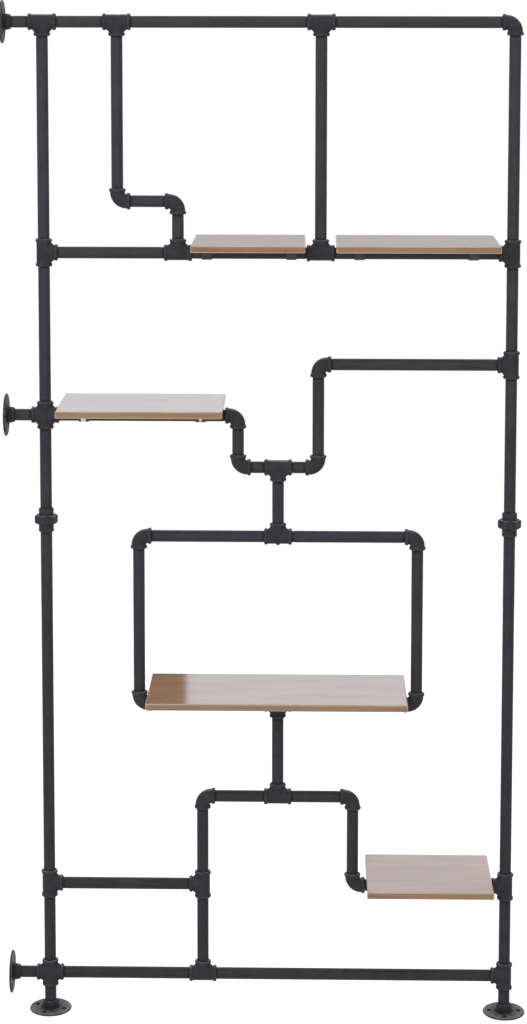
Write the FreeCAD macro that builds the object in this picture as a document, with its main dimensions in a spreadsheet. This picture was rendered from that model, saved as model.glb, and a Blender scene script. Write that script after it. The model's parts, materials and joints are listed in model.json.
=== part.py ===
import FreeCAD, Part
import math
import os
import re
import Sketcher

# Pipe shelving unit: a frame of threaded half-inch pipe and malleable iron fittings
# that carries five wooden boards. Millimetres, +Z up, pipes in the XZ plane.
# The origin is on the floor, in the middle of the unit's width and depth.

sizes = {
    # pipe and threads
    "pipe_od": 21.8,
    "pipe_bore": 16.6,
    "thread_depth": 13.0,      # how far a pipe is screwed into a fitting
    "socket_depth": 14.0,
    "waterway_od": 18.0,       # bore of a fitting past its threads
    # beaded fittings: tees, crosses and elbows
    "fitting_reach": 26.0,     # from the middle of a tee or a cross to each end face
    "elbow_reach": 24.0,
    "body_od": 27.2,
    "bead_od": 30.8,
    "lip_od": 24.6,            # end face, inside the bead's bevel
    "bead_width": 6.6,
    "bead_bevel": 2.0,
    "bead_step": 1.8,
    "elbow_bend": 17.0,
    # unions
    "union_length": 46.0,
    "collar_od": 28.6,
    "collar_bevel": 1.8,
    "union_thread_od": 35.0,
    "shoulder_od": 34.0,
    "shoulder_height": 4.0,
    "nut_flats": 38.5,
    "nut_corners": 44.5,
    "nut_height": 16.0,
    "nut_offset": 1.5,         # the nut sits a little above the joint face
    "nut_bevel": 3.2,
    "nut_clearance": 0.3,
    # floor and wall flanges
    "flange_od": 80.0,
    "flange_rim": 4.0,
    "flange_edge": 1.0,        # bevel round the disc
    "flange_height": 18.0,
    "hub_base_od": 34.0,
    "hub_top_od": 29.6,
    "hub_foot": 1.5,           # bevel where the hub meets the disc
    "hub_bevel": 2.0,
    "bolt_circle": 56.0,
    "bolt_hole": 7.0,
    # columns, measured from the left post
    "wall_reach": 75.0,        # left post to the wall
    "post_spacing": 870.0,
    "outer_drop_col": 137.5,
    "jog_col": 249.5,
    "inner_drop_col": 514.5,
    "centre_col": 436.0,
    "dip_half": 75.0,
    "loop_half": 262.0,
    "leg_half": 142.7,
    # rows, measured from the floor
    "bottom_row": 73.0,
    "lower_row": 250.5,
    "bridge_row": 424.0,
    "loop_low_row": 605.0,
    "loop_high_row": 928.0,
    "left_union_row": 958.0,
    "right_union_row": 953.0,
    "dip_row": 1060.0,
    "middle_row": 1158.0,
    "high_row": 1255.5,
    "upper_row": 1464.0,
    "jog_row": 1560.0,
    "top_row": 1891.0,
    # boards
    "board_depth": 200.0,
    "board_thick": 13.0,
    "board_gap": 2.0,          # between a board's end and the fitting beside it
    "board_edge": 0.8,
    "pilot_hole": 3.4,
    "pilot_depth": 9.0,
    # pipe straps and their screws
    "strap_width": 19.0,
    "strap_thick": 2.0,
    "strap_ear": 27.0,
    "strap_screw": 19.0,       # from the pipe's middle to each screw
    "strap_hole": 4.4,
    "strap_inset": 44.0,
    "strap_inset_short": 26.0,
    "screw_head": 8.0,
    "screw_rim": 0.8,          # height of the head's edge
    "screw_crown": 2.4,
    "screw_crown_od": 4.0,
    "screw_length": 10.5,
    "screw_tip": 3.0,
}

doc = FreeCAD.newDocument("pipe_shelving_unit")
sheet = doc.addObject("Spreadsheet::Sheet", "Sizes")
for line, (name, value) in enumerate(sizes.items(), start=1):
    sheet.set(f"A{line}", name)
    sheet.set(f"B{line}", str(value))
    sheet.setAlias(f"B{line}", name)
doc.recompute()

across = "(post_spacing + flange_od / 2 - wall_reach) / 2"   # left post to the unit's middle

columns = {
    "wall": "0 - wall_reach",
    "left": "0",
    "outer_drop": "outer_drop_col",
    "loop_left": "centre_col - loop_half",
    "jog": "jog_col",
    "leg_left": "centre_col - leg_half",
    "dip_left": "centre_col - dip_half",
    "centre": "centre_col",
    "dip_right": "centre_col + dip_half",
    "inner_drop": "inner_drop_col",
    "leg_right": "centre_col + leg_half",
    "loop_right": "centre_col + loop_half",
    "right": "post_spacing",
}
rows = {
    "floor": "0",
    "bottom": "bottom_row",
    "lower": "lower_row",
    "bridge": "bridge_row",
    "loop_low": "loop_low_row",
    "loop_high": "loop_high_row",
    "left_union": "left_union_row",
    "right_union": "right_union_row",
    "dip": "dip_row",
    "middle": "middle_row",
    "high": "high_row",
    "upper": "upper_row",
    "jog": "jog_row",
    "top": "top_row",
}

# How far from a stop a pipe's end lies: in a tee or a cross, in an elbow, and in what else
# stands at a stop.
fitting_end = "fitting_reach - thread_depth"
elbow_end = "elbow_reach - thread_depth"
special_end = {
    "wall": "flange_height - thread_depth",
    "floor": "flange_height - thread_depth",
    "left_union": "union_length / 2 - thread_depth",
    "right_union": "union_length / 2 - thread_depth",
}

Y_AXIS = FreeCAD.Vector(0, 1, 0)
Z_AXIS = FreeCAD.Vector(0, 0, 1)
UP, RIGHT, DOWN, LEFT = 0, 90, 180, 270    # where a tee's branch or an elbow's Z arm points

subparts = []


def formula(text):
    """Point each size named in a formula at its cell of the sheet."""
    return re.sub(r"[a-z_]+", lambda word: "Sizes." + word.group(), text)


def size(text):
    """Present value of a formula, in millimetres."""
    value = sheet.evalExpression(formula(text))
    return float(getattr(value, "Value", value))


def place(thing, across_formula, height_formula, rotation=FreeCAD.Rotation()):
    """Put an object in the XZ plane of the frame, bound to the sheet."""
    thing.Placement = FreeCAD.Placement(FreeCAD.Vector(0, 0, 0), rotation)
    thing.setExpression("Placement.Base.x", formula(f"({across_formula}) - {across}"))
    thing.setExpression("Placement.Base.z", formula(height_formula))


def turned(angle):
    """Rotation in the plane of the frame, from up towards the right."""
    return FreeCAD.Rotation(Y_AXIS, angle)


def register(thing, label):
    """Give a finished sub-part the name of its file."""
    thing.Label = label
    subparts.append(thing)


# Sketches and features

def new_sketch(body, name, plane, lift=None):
    """Sketch on one of the body's own origin planes, lifted off it by a formula."""
    sketch = body.newObject("Sketcher::SketchObject", name)
    support = [face for face in body.Origin.OriginFeatures if face.Role == plane][0]
    sketch.AttachmentSupport = [(support, "")]
    sketch.MapMode = "FlatFace"
    if lift:
        sketch.setExpression("AttachmentOffset.Base.z", formula(lift))
    return sketch


def pin(sketch, edge, end, kind, text):
    """Hold one end of an edge at a distance from the sketch's origin."""
    index = sketch.addConstraint(Sketcher.Constraint(kind, -1, 1, edge, end, size(text)))
    sketch.setExpression(f"Constraints[{index}]", formula(text))


def draw_outline(sketch, corners):
    """Closed straight-sided outline; each corner is a pair of formulas."""
    points = [FreeCAD.Vector(size(x), size(y), 0) for x, y in corners]
    count = len(points)
    for i in range(count):
        sketch.addGeometry(Part.LineSegment(points[i], points[(i + 1) % count]))
    for i in range(count):
        sketch.addConstraint(Sketcher.Constraint("Coincident", i, 2, (i + 1) % count, 1))
    for i, (x, y) in enumerate(corners):
        pin(sketch, i, 1, "DistanceX", x)
        pin(sketch, i, 1, "DistanceY", y)


def draw_circle(sketch, diameter, x="0", y="0"):
    """Circle with its middle at a pair of formulas."""
    middle = FreeCAD.Vector(size(x), size(y), 0)
    edge = sketch.addGeometry(Part.Circle(middle, Z_AXIS, size(diameter) / 2))
    pin(sketch, edge, 3, "DistanceX", x)
    pin(sketch, edge, 3, "DistanceY", y)
    index = sketch.addConstraint(Sketcher.Constraint("Diameter", edge, size(diameter)))
    sketch.setExpression(f"Constraints[{index}]", formula(diameter))


def turn_outline(body, kind, name, axis, corners):
    """Revolution or Groove of an outline drawn in the XZ plane, a full turn."""
    sketch = new_sketch(body, name + "_outline", "XZ_Plane")
    draw_outline(sketch, corners)
    feature = body.newObject("PartDesign::" + kind, name)
    feature.Profile = sketch
    feature.ReferenceAxis = (sketch, [axis])
    feature.Angle = 360
    body.Tip = feature


def swap(corners):
    """The same outline about the other axis."""
    return [(y, x) for x, y in corners]


# Beaded fittings. An arm is drawn as pairs of radius and distance from the middle.

def arm_end(reach):
    """Outside of an arm, from its body to its face."""
    return [
        ("body_od / 2", f"{reach} - bead_width"),
        ("bead_od / 2", f"{reach} - bead_width + bead_step"),
        ("bead_od / 2", f"{reach} - bead_bevel"),
        ("lip_od / 2", reach),
    ]


def socket_end(reach):
    """Inside of an arm, from the waterway to the face."""
    return [
        ("waterway_od / 2", f"{reach} - socket_depth"),
        ("pipe_od / 2", f"{reach} - socket_depth"),
        ("pipe_od / 2", reach),
    ]


def one_arm(end, start_radius):
    """Solid arm from the middle of the fitting to its face."""
    return [("0", "0"), (start_radius, "0")] + end + [("0", "fitting_reach")]


def two_arms(end):
    """Solid straight through, the same at both faces."""
    far = [(radius, f"0 - ({along})") for radius, along in reversed(end)]
    return [("0", "0 - fitting_reach")] + far + end + [("0", "fitting_reach")]


branched_arm, branched_socket = arm_end("fitting_reach"), socket_end("fitting_reach")


def make_branched(label, branch, branch_bore):
    """Run along X and branch along Z, bored with threaded sockets at each face."""
    body = doc.addObject("PartDesign::Body", label)
    turn_outline(body, "Revolution", "run", "H_Axis", swap(two_arms(branched_arm)))
    turn_outline(body, "Revolution", "branch", "V_Axis", branch)
    turn_outline(body, "Groove", "run_bore", "H_Axis", swap(two_arms(branched_socket)))
    turn_outline(body, "Groove", "branch_bore", "V_Axis", branch_bore)
    return body


def make_tee(label):
    """Tee: run along X, branch up."""
    branch = one_arm(branched_arm, "body_od / 2")
    return make_branched(label, branch, one_arm(branched_socket, "waterway_od / 2"))


def make_cross(label):
    """Cross: four equal arms."""
    return make_branched(label, two_arms(branched_arm), two_arms(branched_socket))


def bend_line(body):
    """Middle line of an elbow, from its Z arm round to its X arm."""
    sketch = new_sketch(body, "bend_line", "XZ_Plane")
    bend, reach = size("elbow_bend"), size("elbow_reach - bead_width")
    centre = FreeCAD.Vector(bend, bend, 0)
    start = sketch.addGeometry(
        Part.LineSegment(FreeCAD.Vector(0, reach, 0), FreeCAD.Vector(0, bend, 0)))
    curve = sketch.addGeometry(
        Part.ArcOfCircle(Part.Circle(centre, Z_AXIS, bend), math.pi, 1.5 * math.pi))
    stop = sketch.addGeometry(
        Part.LineSegment(FreeCAD.Vector(bend, 0, 0), FreeCAD.Vector(reach, 0, 0)))
    pin(sketch, start, 1, "DistanceX", "0")
    pin(sketch, start, 1, "DistanceY", "elbow_reach - bead_width")
    pin(sketch, start, 2, "DistanceX", "0")
    pin(sketch, start, 2, "DistanceY", "elbow_bend")
    pin(sketch, stop, 1, "DistanceX", "elbow_bend")
    pin(sketch, stop, 1, "DistanceY", "0")
    pin(sketch, stop, 2, "DistanceX", "elbow_reach - bead_width")
    pin(sketch, stop, 2, "DistanceY", "0")
    sketch.addConstraint(Sketcher.Constraint("Coincident", start, 2, curve, 1))
    sketch.addConstraint(Sketcher.Constraint("Coincident", curve, 2, stop, 1))
    pin(sketch, curve, 3, "DistanceX", "elbow_bend")
    return sketch


def follow_bend(body, kind, name, spine, diameter):
    """Round section carried along the bend, added or cut away."""
    section = new_sketch(body, name + "_section", "XY_Plane", "elbow_reach - bead_width")
    draw_circle(section, diameter)
    feature = body.newObject("PartDesign::" + kind, name)
    feature.Profile = section
    feature.Spine = (spine, ["Edge1", "Edge2", "Edge3"])
    body.Tip = feature


def make_elbow(label):
    """Elbow: one arm up, one arm along X."""
    body = doc.addObject("PartDesign::Body", label)
    spine = bend_line(body)
    follow_bend(body, "AdditivePipe", "bend", spine, "body_od")
    bead = [("0", "elbow_reach - bead_width")] + arm_end("elbow_reach") + [("0", "elbow_reach")]
    turn_outline(body, "Revolution", "upper_bead", "V_Axis", bead)
    turn_outline(body, "Revolution", "side_bead", "H_Axis", swap(bead))
    follow_bend(body, "SubtractivePipe", "waterway", spine, "waterway_od")
    socket = [("0", "elbow_reach - socket_depth")] + socket_end("elbow_reach")[1:]
    socket.append(("0", "elbow_reach"))
    turn_outline(body, "Groove", "upper_socket", "V_Axis", socket)
    turn_outline(body, "Groove", "side_socket", "H_Axis", swap(socket))
    return body


# fitting: maker, column, row and the way its branch points
fittings = {
    "tee_left_post_top": (make_tee, "left", "top", DOWN),
    "tee_left_post_upper": (make_tee, "left", "upper", RIGHT),
    "tee_left_post_lower": (make_tee, "left", "lower", RIGHT),
    "tee_right_post_upper": (make_tee, "right", "upper", LEFT),
    "tee_right_post_high": (make_tee, "right", "high", LEFT),
    "tee_right_post_lower": (make_tee, "right", "lower", LEFT),
    "tee_right_post_bottom": (make_tee, "right", "bottom", LEFT),
    "tee_top_rail_outer": (make_tee, "outer_drop", "top", DOWN),
    "tee_top_rail_inner": (make_tee, "inner_drop", "top", DOWN),
    "tee_upper_rail_outer": (make_tee, "jog", "upper", UP),
    "tee_upper_rail_inner": (make_tee, "inner_drop", "upper", UP),
    "tee_dip_centre": (make_tee, "centre", "dip", DOWN),
    "tee_loop_top": (make_tee, "centre", "loop_high", UP),
    "tee_loop_bottom": (make_tee, "centre", "loop_low", DOWN),
    "tee_bridge_top": (make_tee, "centre", "bridge", UP),
    "tee_bridge_leg": (make_tee, "leg_left", "lower", LEFT),
    "tee_bottom_rail": (make_tee, "leg_left", "bottom", UP),
    "cross_left_post_middle": (make_cross, "left", "middle", UP),
    "cross_left_post_bottom": (make_cross, "left", "bottom", UP),
    "elbow_right_post_top": (make_elbow, "right", "top", DOWN),
    "elbow_jog_outer": (make_elbow, "outer_drop", "jog", UP),
    "elbow_jog_inner": (make_elbow, "jog", "jog", DOWN),
    "elbow_dip_left_high": (make_elbow, "dip_left", "middle", DOWN),
    "elbow_dip_left_low": (make_elbow, "dip_left", "dip", UP),
    "elbow_dip_right_low": (make_elbow, "dip_right", "dip", LEFT),
    "elbow_dip_right_high": (make_elbow, "dip_right", "high", RIGHT),
    "elbow_loop_top_left": (make_elbow, "loop_left", "loop_high", RIGHT),
    "elbow_loop_top_right": (make_elbow, "loop_right", "loop_high", DOWN),
    "elbow_loop_bottom_left": (make_elbow, "loop_left", "loop_low", UP),
    "elbow_loop_bottom_right": (make_elbow, "loop_right", "loop_low", LEFT),
    "elbow_bridge_left": (make_elbow, "leg_left", "bridge", RIGHT),
    "elbow_bridge_right": (make_elbow, "leg_right", "bridge", DOWN),
    "elbow_leg_foot": (make_elbow, "leg_right", "lower", UP),
}
for label, (make, column, row, way) in fittings.items():
    fitting = make(label)
    place(fitting, columns[column], rows[row], turned(way))
    register(fitting, label)


# Unions: two threaded halves that meet face to face, drawn together by a hexagon nut

def make_union_half(label, side):
    """Half of a union, below (-1) or above (+1) the joint face."""
    body = doc.addObject("PartDesign::Body", label)
    if side < 0:
        wide, step = "union_thread_od / 2", "nut_height / 2 - nut_offset"
    else:
        wide, step = "shoulder_od / 2", "shoulder_height"
    corners = [
        ("waterway_od / 2", "0"),
        (wide, "0"),
        (wide, step),
        ("collar_od / 2", step),
        ("collar_od / 2", "union_length / 2 - collar_bevel"),
        ("lip_od / 2", "union_length / 2"),
        ("pipe_od / 2", "union_length / 2"),
        ("pipe_od / 2", "union_length / 2 - socket_depth"),
        ("waterway_od / 2", "union_length / 2 - socket_depth"),
    ]
    corners = [(radius, f"{side} * ({along})") for radius, along in corners]
    turn_outline(body, "Revolution", "half", "V_Axis", corners)
    return body


def make_union_nut(label):
    """Hexagon nut with bevelled ends and a lip over the upper half's shoulder."""
    body = doc.addObject("PartDesign::Body", label)
    low, high = "nut_offset - nut_height / 2", "nut_offset + nut_height / 2"
    sketch = new_sketch(body, "hexagon", "XY_Plane", low)
    half, quarter, flat = "nut_corners / 2", "nut_corners / 4", "nut_flats / 2"
    draw_outline(sketch, [
        (half, "0"), (quarter, flat), ("0 - " + quarter, flat),
        ("0 - " + half, "0"), ("0 - " + quarter, "0 - " + flat), (quarter, "0 - " + flat),
    ])
    block = body.newObject("PartDesign::Pad", "block")
    block.Profile = sketch
    block.setExpression("Length", formula("nut_height"))
    body.Tip = block
    turn_outline(body, "Groove", "upper_bevel", "V_Axis", [
        (f"{flat} - nut_clearance", high),
        (f"{half} + nut_bevel", high),
        (f"{half} + nut_bevel", f"{high} - nut_bevel"),
        (half, f"{high} - nut_bevel"),
    ])
    turn_outline(body, "Groove", "lower_bevel", "V_Axis", [
        (f"{flat} - nut_clearance", low),
        (half, f"{low} + nut_bevel"),
        (f"{half} + nut_bevel", f"{low} + nut_bevel"),
        (f"{half} + nut_bevel", low),
    ])
    turn_outline(body, "Groove", "thread", "V_Axis", [
        ("0", low),
        ("union_thread_od / 2", low),
        ("union_thread_od / 2", "shoulder_height"),
        ("collar_od / 2 + nut_clearance", "shoulder_height"),
        ("collar_od / 2 + nut_clearance", high),
        ("0", high),
    ])
    return body


nut_turn = {"left": 21, "right": 24}       # how far each nut is turned about its post
for side in ("left", "right"):
    height = rows[f"{side}_union"]
    for half, sign in (("bottom", -1), ("top", 1)):
        label = f"union_{side}_{half}_half"
        union_half = make_union_half(label, sign)
        place(union_half, columns[side], height)
        register(union_half, label)
    label = f"union_{side}_nut"
    nut = make_union_nut(label)
    place(nut, columns[side], height, FreeCAD.Rotation(Z_AXIS, nut_turn[side]))
    register(nut, label)


# Flanges, screwed to the floor and to the wall through four holes

def make_flange(label):
    """Round flange with a tapered hub; its back face is at Z 0."""
    body = doc.addObject("PartDesign::Body", label)
    turn_outline(body, "Revolution", "disc_and_hub", "V_Axis", [
        ("waterway_od / 2", "0"),
        ("flange_od / 2", "0"),
        ("flange_od / 2", "flange_rim - flange_edge"),
        ("flange_od / 2 - flange_edge", "flange_rim"),
        ("hub_base_od / 2 + hub_foot", "flange_rim"),
        ("hub_base_od / 2", "flange_rim + hub_foot"),
        ("hub_top_od / 2", "flange_height - hub_bevel"),
        ("lip_od / 2", "flange_height"),
        ("pipe_od / 2", "flange_height"),
        ("pipe_od / 2", "flange_height - socket_depth"),
        ("waterway_od / 2", "flange_height - socket_depth"),
    ])
    sketch = new_sketch(body, "hole_circle", "XY_Plane")
    draw_circle(sketch, "bolt_hole", "bolt_circle / 2", "0")
    hole = body.newObject("PartDesign::Pocket", "hole")
    hole.Profile = sketch
    hole.Reversed = True
    hole.Type = "ThroughAll"
    body.Tip = hole
    holes = body.newObject("PartDesign::PolarPattern", "holes")
    holes.Originals = [hole]
    holes.Axis = (sketch, ["N_Axis"])
    holes.Angle = 360
    holes.Occurrences = 4
    body.Tip = holes
    return body


# flange: column, row, the way it faces and how far it is turned about its pipe
flanges = {
    "floor_flange_left": ("left", "floor", UP, -20),
    "floor_flange_right": ("right", "floor", UP, 0),
    "wall_flange_top": ("wall", "top", RIGHT, 45),
    "wall_flange_middle": ("wall", "middle", RIGHT, 45),
    "wall_flange_bottom": ("wall", "bottom", RIGHT, 45),
}
for label, (column, row, way, turn) in flanges.items():
    flange = make_flange(label)
    rotation = turned(way).multiply(FreeCAD.Rotation(Z_AXIS, turn))
    place(flange, columns[column], rows[row], rotation)
    register(flange, label)


# Pipes. One ring section is extruded for each length; a run groups the lengths in line.

ring = doc.addObject("Sketcher::SketchObject", "pipe_section")
draw_circle(ring, "pipe_od")
draw_circle(ring, "pipe_bore")

# run: the rows and columns it follows, each with its stops from start to end
runs = {
    "left_post_pipes": [
        ("column", "left", ["floor", "bottom", "lower", "left_union", "middle", "upper", "top"]),
    ],
    "right_post_pipes": [
        ("column", "right", ["floor", "bottom", "lower", "right_union", "high", "upper", "top"]),
    ],
    "top_rail_pipes": [("row", "top", ["wall", "left", "outer_drop", "inner_drop", "right"])],
    "upper_rail_pipes": [("row", "upper", ["left", "jog", "inner_drop", "right"])],
    "upper_drop_pipes": [
        ("column", "outer_drop", ["jog", "top"]),
        ("row", "jog", ["outer_drop", "jog"]),
        ("column", "jog", ["upper", "jog"]),
        ("column", "inner_drop", ["upper", "top"]),
    ],
    "middle_rail_pipes": [
        ("row", "middle", ["wall", "left", "dip_left"]),
        ("column", "dip_left", ["dip", "middle"]),
        ("row", "dip", ["dip_left", "centre", "dip_right"]),
        ("column", "dip_right", ["dip", "high"]),
        ("row", "high", ["dip_right", "right"]),
    ],
    "loop_pipes": [
        ("column", "centre", ["loop_high", "dip"]),
        ("row", "loop_high", ["loop_left", "centre", "loop_right"]),
        ("column", "loop_left", ["loop_low", "loop_high"]),
        ("column", "loop_right", ["loop_low", "loop_high"]),
        ("row", "loop_low", ["loop_left", "centre", "loop_right"]),
    ],
    "bridge_pipes": [
        ("column", "centre", ["bridge", "loop_low"]),
        ("row", "bridge", ["leg_left", "centre", "leg_right"]),
        ("column", "leg_left", ["bottom", "lower", "bridge"]),
        ("column", "leg_right", ["lower", "bridge"]),
        ("row", "lower", ["left", "leg_left"]),
        ("row", "lower", ["leg_right", "right"]),
    ],
    "bottom_rail_pipes": [("row", "bottom", ["wall", "left", "leg_left", "right"])],
}


elbow_stops = {(column, row) for maker, column, row, way in fittings.values()
               if maker is make_elbow}


def pipe_end(direction, line, stop):
    """How far from a stop the end of a pipe along this row or column lies."""
    place_of_stop = (stop, line) if direction == "row" else (line, stop)
    if place_of_stop in elbow_stops:
        return elbow_end
    return special_end.get(stop, fitting_end)


def make_pipe(name, direction, line, start, end):
    """One length of pipe between two stops of a row or a column."""
    near, far = pipe_end(direction, line, start), pipe_end(direction, line, end)
    stops = columns if direction == "row" else rows
    pipe = doc.addObject("Part::Extrusion", name)
    pipe.Base = ring
    pipe.DirMode = "Custom"
    pipe.Dir = Z_AXIS
    pipe.Solid = True
    pipe.setExpression(
        "LengthFwd", formula(f"({stops[end]}) - ({stops[start]}) - ({near}) - ({far})"))
    first = f"({stops[start]}) + {near}"
    if direction == "row":
        place(pipe, first, rows[line], turned(RIGHT))
    else:
        place(pipe, columns[line], first)
    return pipe


for label, lines in runs.items():
    lengths = []
    for direction, line, stops in lines:
        for start, end in zip(stops, stops[1:]):
            name = f"pipe_{line}_{start}_to_{end}"
            lengths.append(make_pipe(name, direction, line, start, end))
    run = doc.addObject("Part::Compound", label)
    run.Links = lengths
    register(run, label)


# Boards. Each lies on its pipe between two fittings; the loop's board lies on the beads.
# board: column and allowance at each end, row, rest above the pipe's middle, strap inset
beside_fitting = "fitting_reach + board_gap"
beside_elbow = "elbow_reach + board_gap"
boards = {
    "shelf_board_upper_left":
        ("jog", beside_fitting, "inner_drop", beside_fitting, "upper",
         "pipe_od / 2", "strap_inset_short"),
    "shelf_board_upper_right":
        ("inner_drop", beside_fitting, "right", beside_fitting, "upper",
         "pipe_od / 2", "strap_inset"),
    "shelf_board_middle":
        ("left", beside_fitting, "dip_left", beside_elbow, "middle",
         "pipe_od / 2", "strap_inset"),
    "shelf_board_loop":
        ("loop_left", "bead_od / 2 + board_gap", "loop_right",
         "elbow_reach - bead_width + board_gap", "loop_low",
         "bead_od / 2", "strap_inset"),
    "shelf_board_lower_right":
        ("leg_right", beside_elbow, "right", beside_fitting, "lower",
         "pipe_od / 2", "strap_inset"),
}


def make_board(label, length, inset):
    """Board with its lower left corner line at the origin and eased edges."""
    body = doc.addObject("PartDesign::Body", label)
    sketch = new_sketch(body, "plan", "XY_Plane")
    half = "board_depth / 2"
    draw_outline(sketch, [
        ("0", "0 - " + half), (length, "0 - " + half), (length, half), ("0", half)])
    plank = body.newObject("PartDesign::Pad", "plank")
    plank.Profile = sketch
    plank.setExpression("Length", formula("board_thick"))
    body.Tip = plank
    doc.recompute()
    eased = body.newObject("PartDesign::Chamfer", "eased_edges")
    eased.Base = (plank, [f"Edge{i + 1}" for i in range(len(plank.Shape.Edges))])
    eased.setExpression("Size", formula("board_edge"))
    body.Tip = eased
    pilots = new_sketch(body, "pilot_circles", "XY_Plane")
    for across_board in (inset, f"{length} - {inset}"):
        for depth in ("strap_screw", "0 - strap_screw"):
            draw_circle(pilots, "pilot_hole", across_board, depth)
    holes = body.newObject("PartDesign::Pocket", "pilot_holes")
    holes.Profile = pilots
    holes.Reversed = True
    holes.setExpression("Length", formula("pilot_depth"))
    body.Tip = holes
    return body


# Pipe straps: each is bent round the underside of a pipe and screwed up into a board

def make_strap(name, rest):
    """Strap about a pipe along X, with its ears against a board at a height of rest."""
    body = doc.addObject("PartDesign::Body", name)
    inner, outer, ear = "pipe_od / 2", "pipe_od / 2 + strap_thick", "strap_ear"
    under = f"{rest} - strap_thick"
    sketch = new_sketch(body, "bent_strip", "YZ_Plane", "0 - strap_width / 2")
    middle = FreeCAD.Vector(0, 0, 0)
    arcs = []
    for radius in (inner, outer):
        circle = Part.Circle(middle, Z_AXIS, size(radius))
        arc = sketch.addGeometry(Part.ArcOfCircle(circle, math.pi, 2 * math.pi))
        sketch.addConstraint(Sketcher.Constraint("Coincident", arc, 3, -1, 1))
        sketch.addConstraint(Sketcher.Constraint("PointOnObject", arc, 1, -1))
        sketch.addConstraint(Sketcher.Constraint("PointOnObject", arc, 2, -1))
        index = sketch.addConstraint(Sketcher.Constraint("Radius", arc, size(radius)))
        sketch.setExpression(f"Constraints[{index}]", formula(radius))
        arcs.append(arc)
    for side, arc_end in ((-1, 1), (1, 2)):
        # from the inner arc up, out along the ear, back under it and down to the outer arc
        corners = [(inner, rest), (ear, rest), (ear, under), (outer, under)]
        path = [(inner, "0")] + corners + [(outer, "0")]
        path = [(f"{side} * ({y})", z) for y, z in path]
        spots = [FreeCAD.Vector(size(y), size(z), 0) for y, z in path]
        lines = [sketch.addGeometry(Part.LineSegment(a, b)) for a, b in zip(spots, spots[1:])]
        for line, following in zip(lines, lines[1:]):
            sketch.addConstraint(Sketcher.Constraint("Coincident", line, 2, following, 1))
        for line, (y, z) in zip(lines, path[1:-1]):
            pin(sketch, line, 2, "DistanceX", y)
            pin(sketch, line, 2, "DistanceY", z)
        sketch.addConstraint(Sketcher.Constraint("Coincident", lines[0], 1, arcs[0], arc_end))
        sketch.addConstraint(Sketcher.Constraint("Coincident", lines[-1], 2, arcs[1], arc_end))
    strip = body.newObject("PartDesign::Pad", "strip")
    strip.Profile = sketch
    strip.setExpression("Length", formula("strap_width"))
    body.Tip = strip
    circles = new_sketch(body, "hole_circles", "XY_Plane")
    for depth in ("strap_screw", "0 - strap_screw"):
        draw_circle(circles, "strap_hole", "0", depth)
    holes = body.newObject("PartDesign::Pocket", "holes")
    holes.Profile = circles
    holes.Reversed = True
    holes.Type = "ThroughAll"
    body.Tip = holes
    return body


screw_section = doc.addObject("Sketcher::SketchObject", "screw_section")
draw_outline(screw_section, [
    ("0", "0 - screw_crown"),
    ("screw_crown_od / 2", "0 - screw_crown"),
    ("screw_head / 2", "0 - screw_rim"),
    ("screw_head / 2", "0"),
    ("pilot_hole / 2", "0"),
    ("pilot_hole / 2", "screw_length - screw_tip"),
    ("0", "screw_length"),
])


def make_screw(name):
    """Pan head screw that points up, with its head's seat at Z 0."""
    screw = doc.addObject("Part::Revolution", name)
    screw.Source = screw_section
    screw.Axis = Y_AXIS                    # the sketch's upright axis
    screw.Base = FreeCAD.Vector(0, 0, 0)
    screw.Angle = 360
    screw.Solid = True
    return screw


upright = FreeCAD.Rotation(FreeCAD.Vector(1, 0, 0), 90)
straps, screws = [], []
for label, (start, near, end, far, row, rest, inset) in boards.items():
    first = f"({columns[start]}) + {near}"
    length = f"(({columns[end]}) - ({far}) - ({first}))"
    board = make_board(label, length, inset)
    place(board, first, f"{rows[row]} + {rest}")
    register(board, label)
    for side, spot in (("left", f"{first} + {inset}"), ("right", f"{first} + {length} - {inset}")):
        strap = make_strap(f"strap_{label}_{side}", rest)
        place(strap, spot, rows[row])
        straps.append(strap)
        for depth, sign in (("front", "0 -"), ("back", "0 +")):
            screw = make_screw(f"screw_{label}_{side}_{depth}")
            place(screw, spot, f"{rows[row]} + {rest} - strap_thick", upright)
            screw.setExpression("Placement.Base.y", formula(f"{sign} strap_screw"))
            screws.append(screw)

for label, pieces in (("pipe_straps", straps), ("strap_screws", screws)):
    group = doc.addObject("Part::Compound", label)
    group.Links = pieces
    register(group, label)

doc.recompute()

failed = [thing.Name for thing in doc.Objects if {"Invalid", "Error"} & set(thing.State)]
if failed:
    raise RuntimeError("failed to recompute: " + ", ".join(failed))
for thing in subparts:
    if thing.Shape.isNull() or not thing.Shape.isValid() or not thing.Shape.Solids:
        raise RuntimeError("bad shape: " + thing.Label)

os.makedirs("parts", exist_ok=True)
for thing in subparts:
    thing.Shape.exportStep(f"parts/{thing.Label}.step")
print(len(subparts), "sub-parts written")
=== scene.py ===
import json
import math

import bmesh
import bpy
import numpy as np
from mathutils import Matrix, Vector, noise

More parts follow.
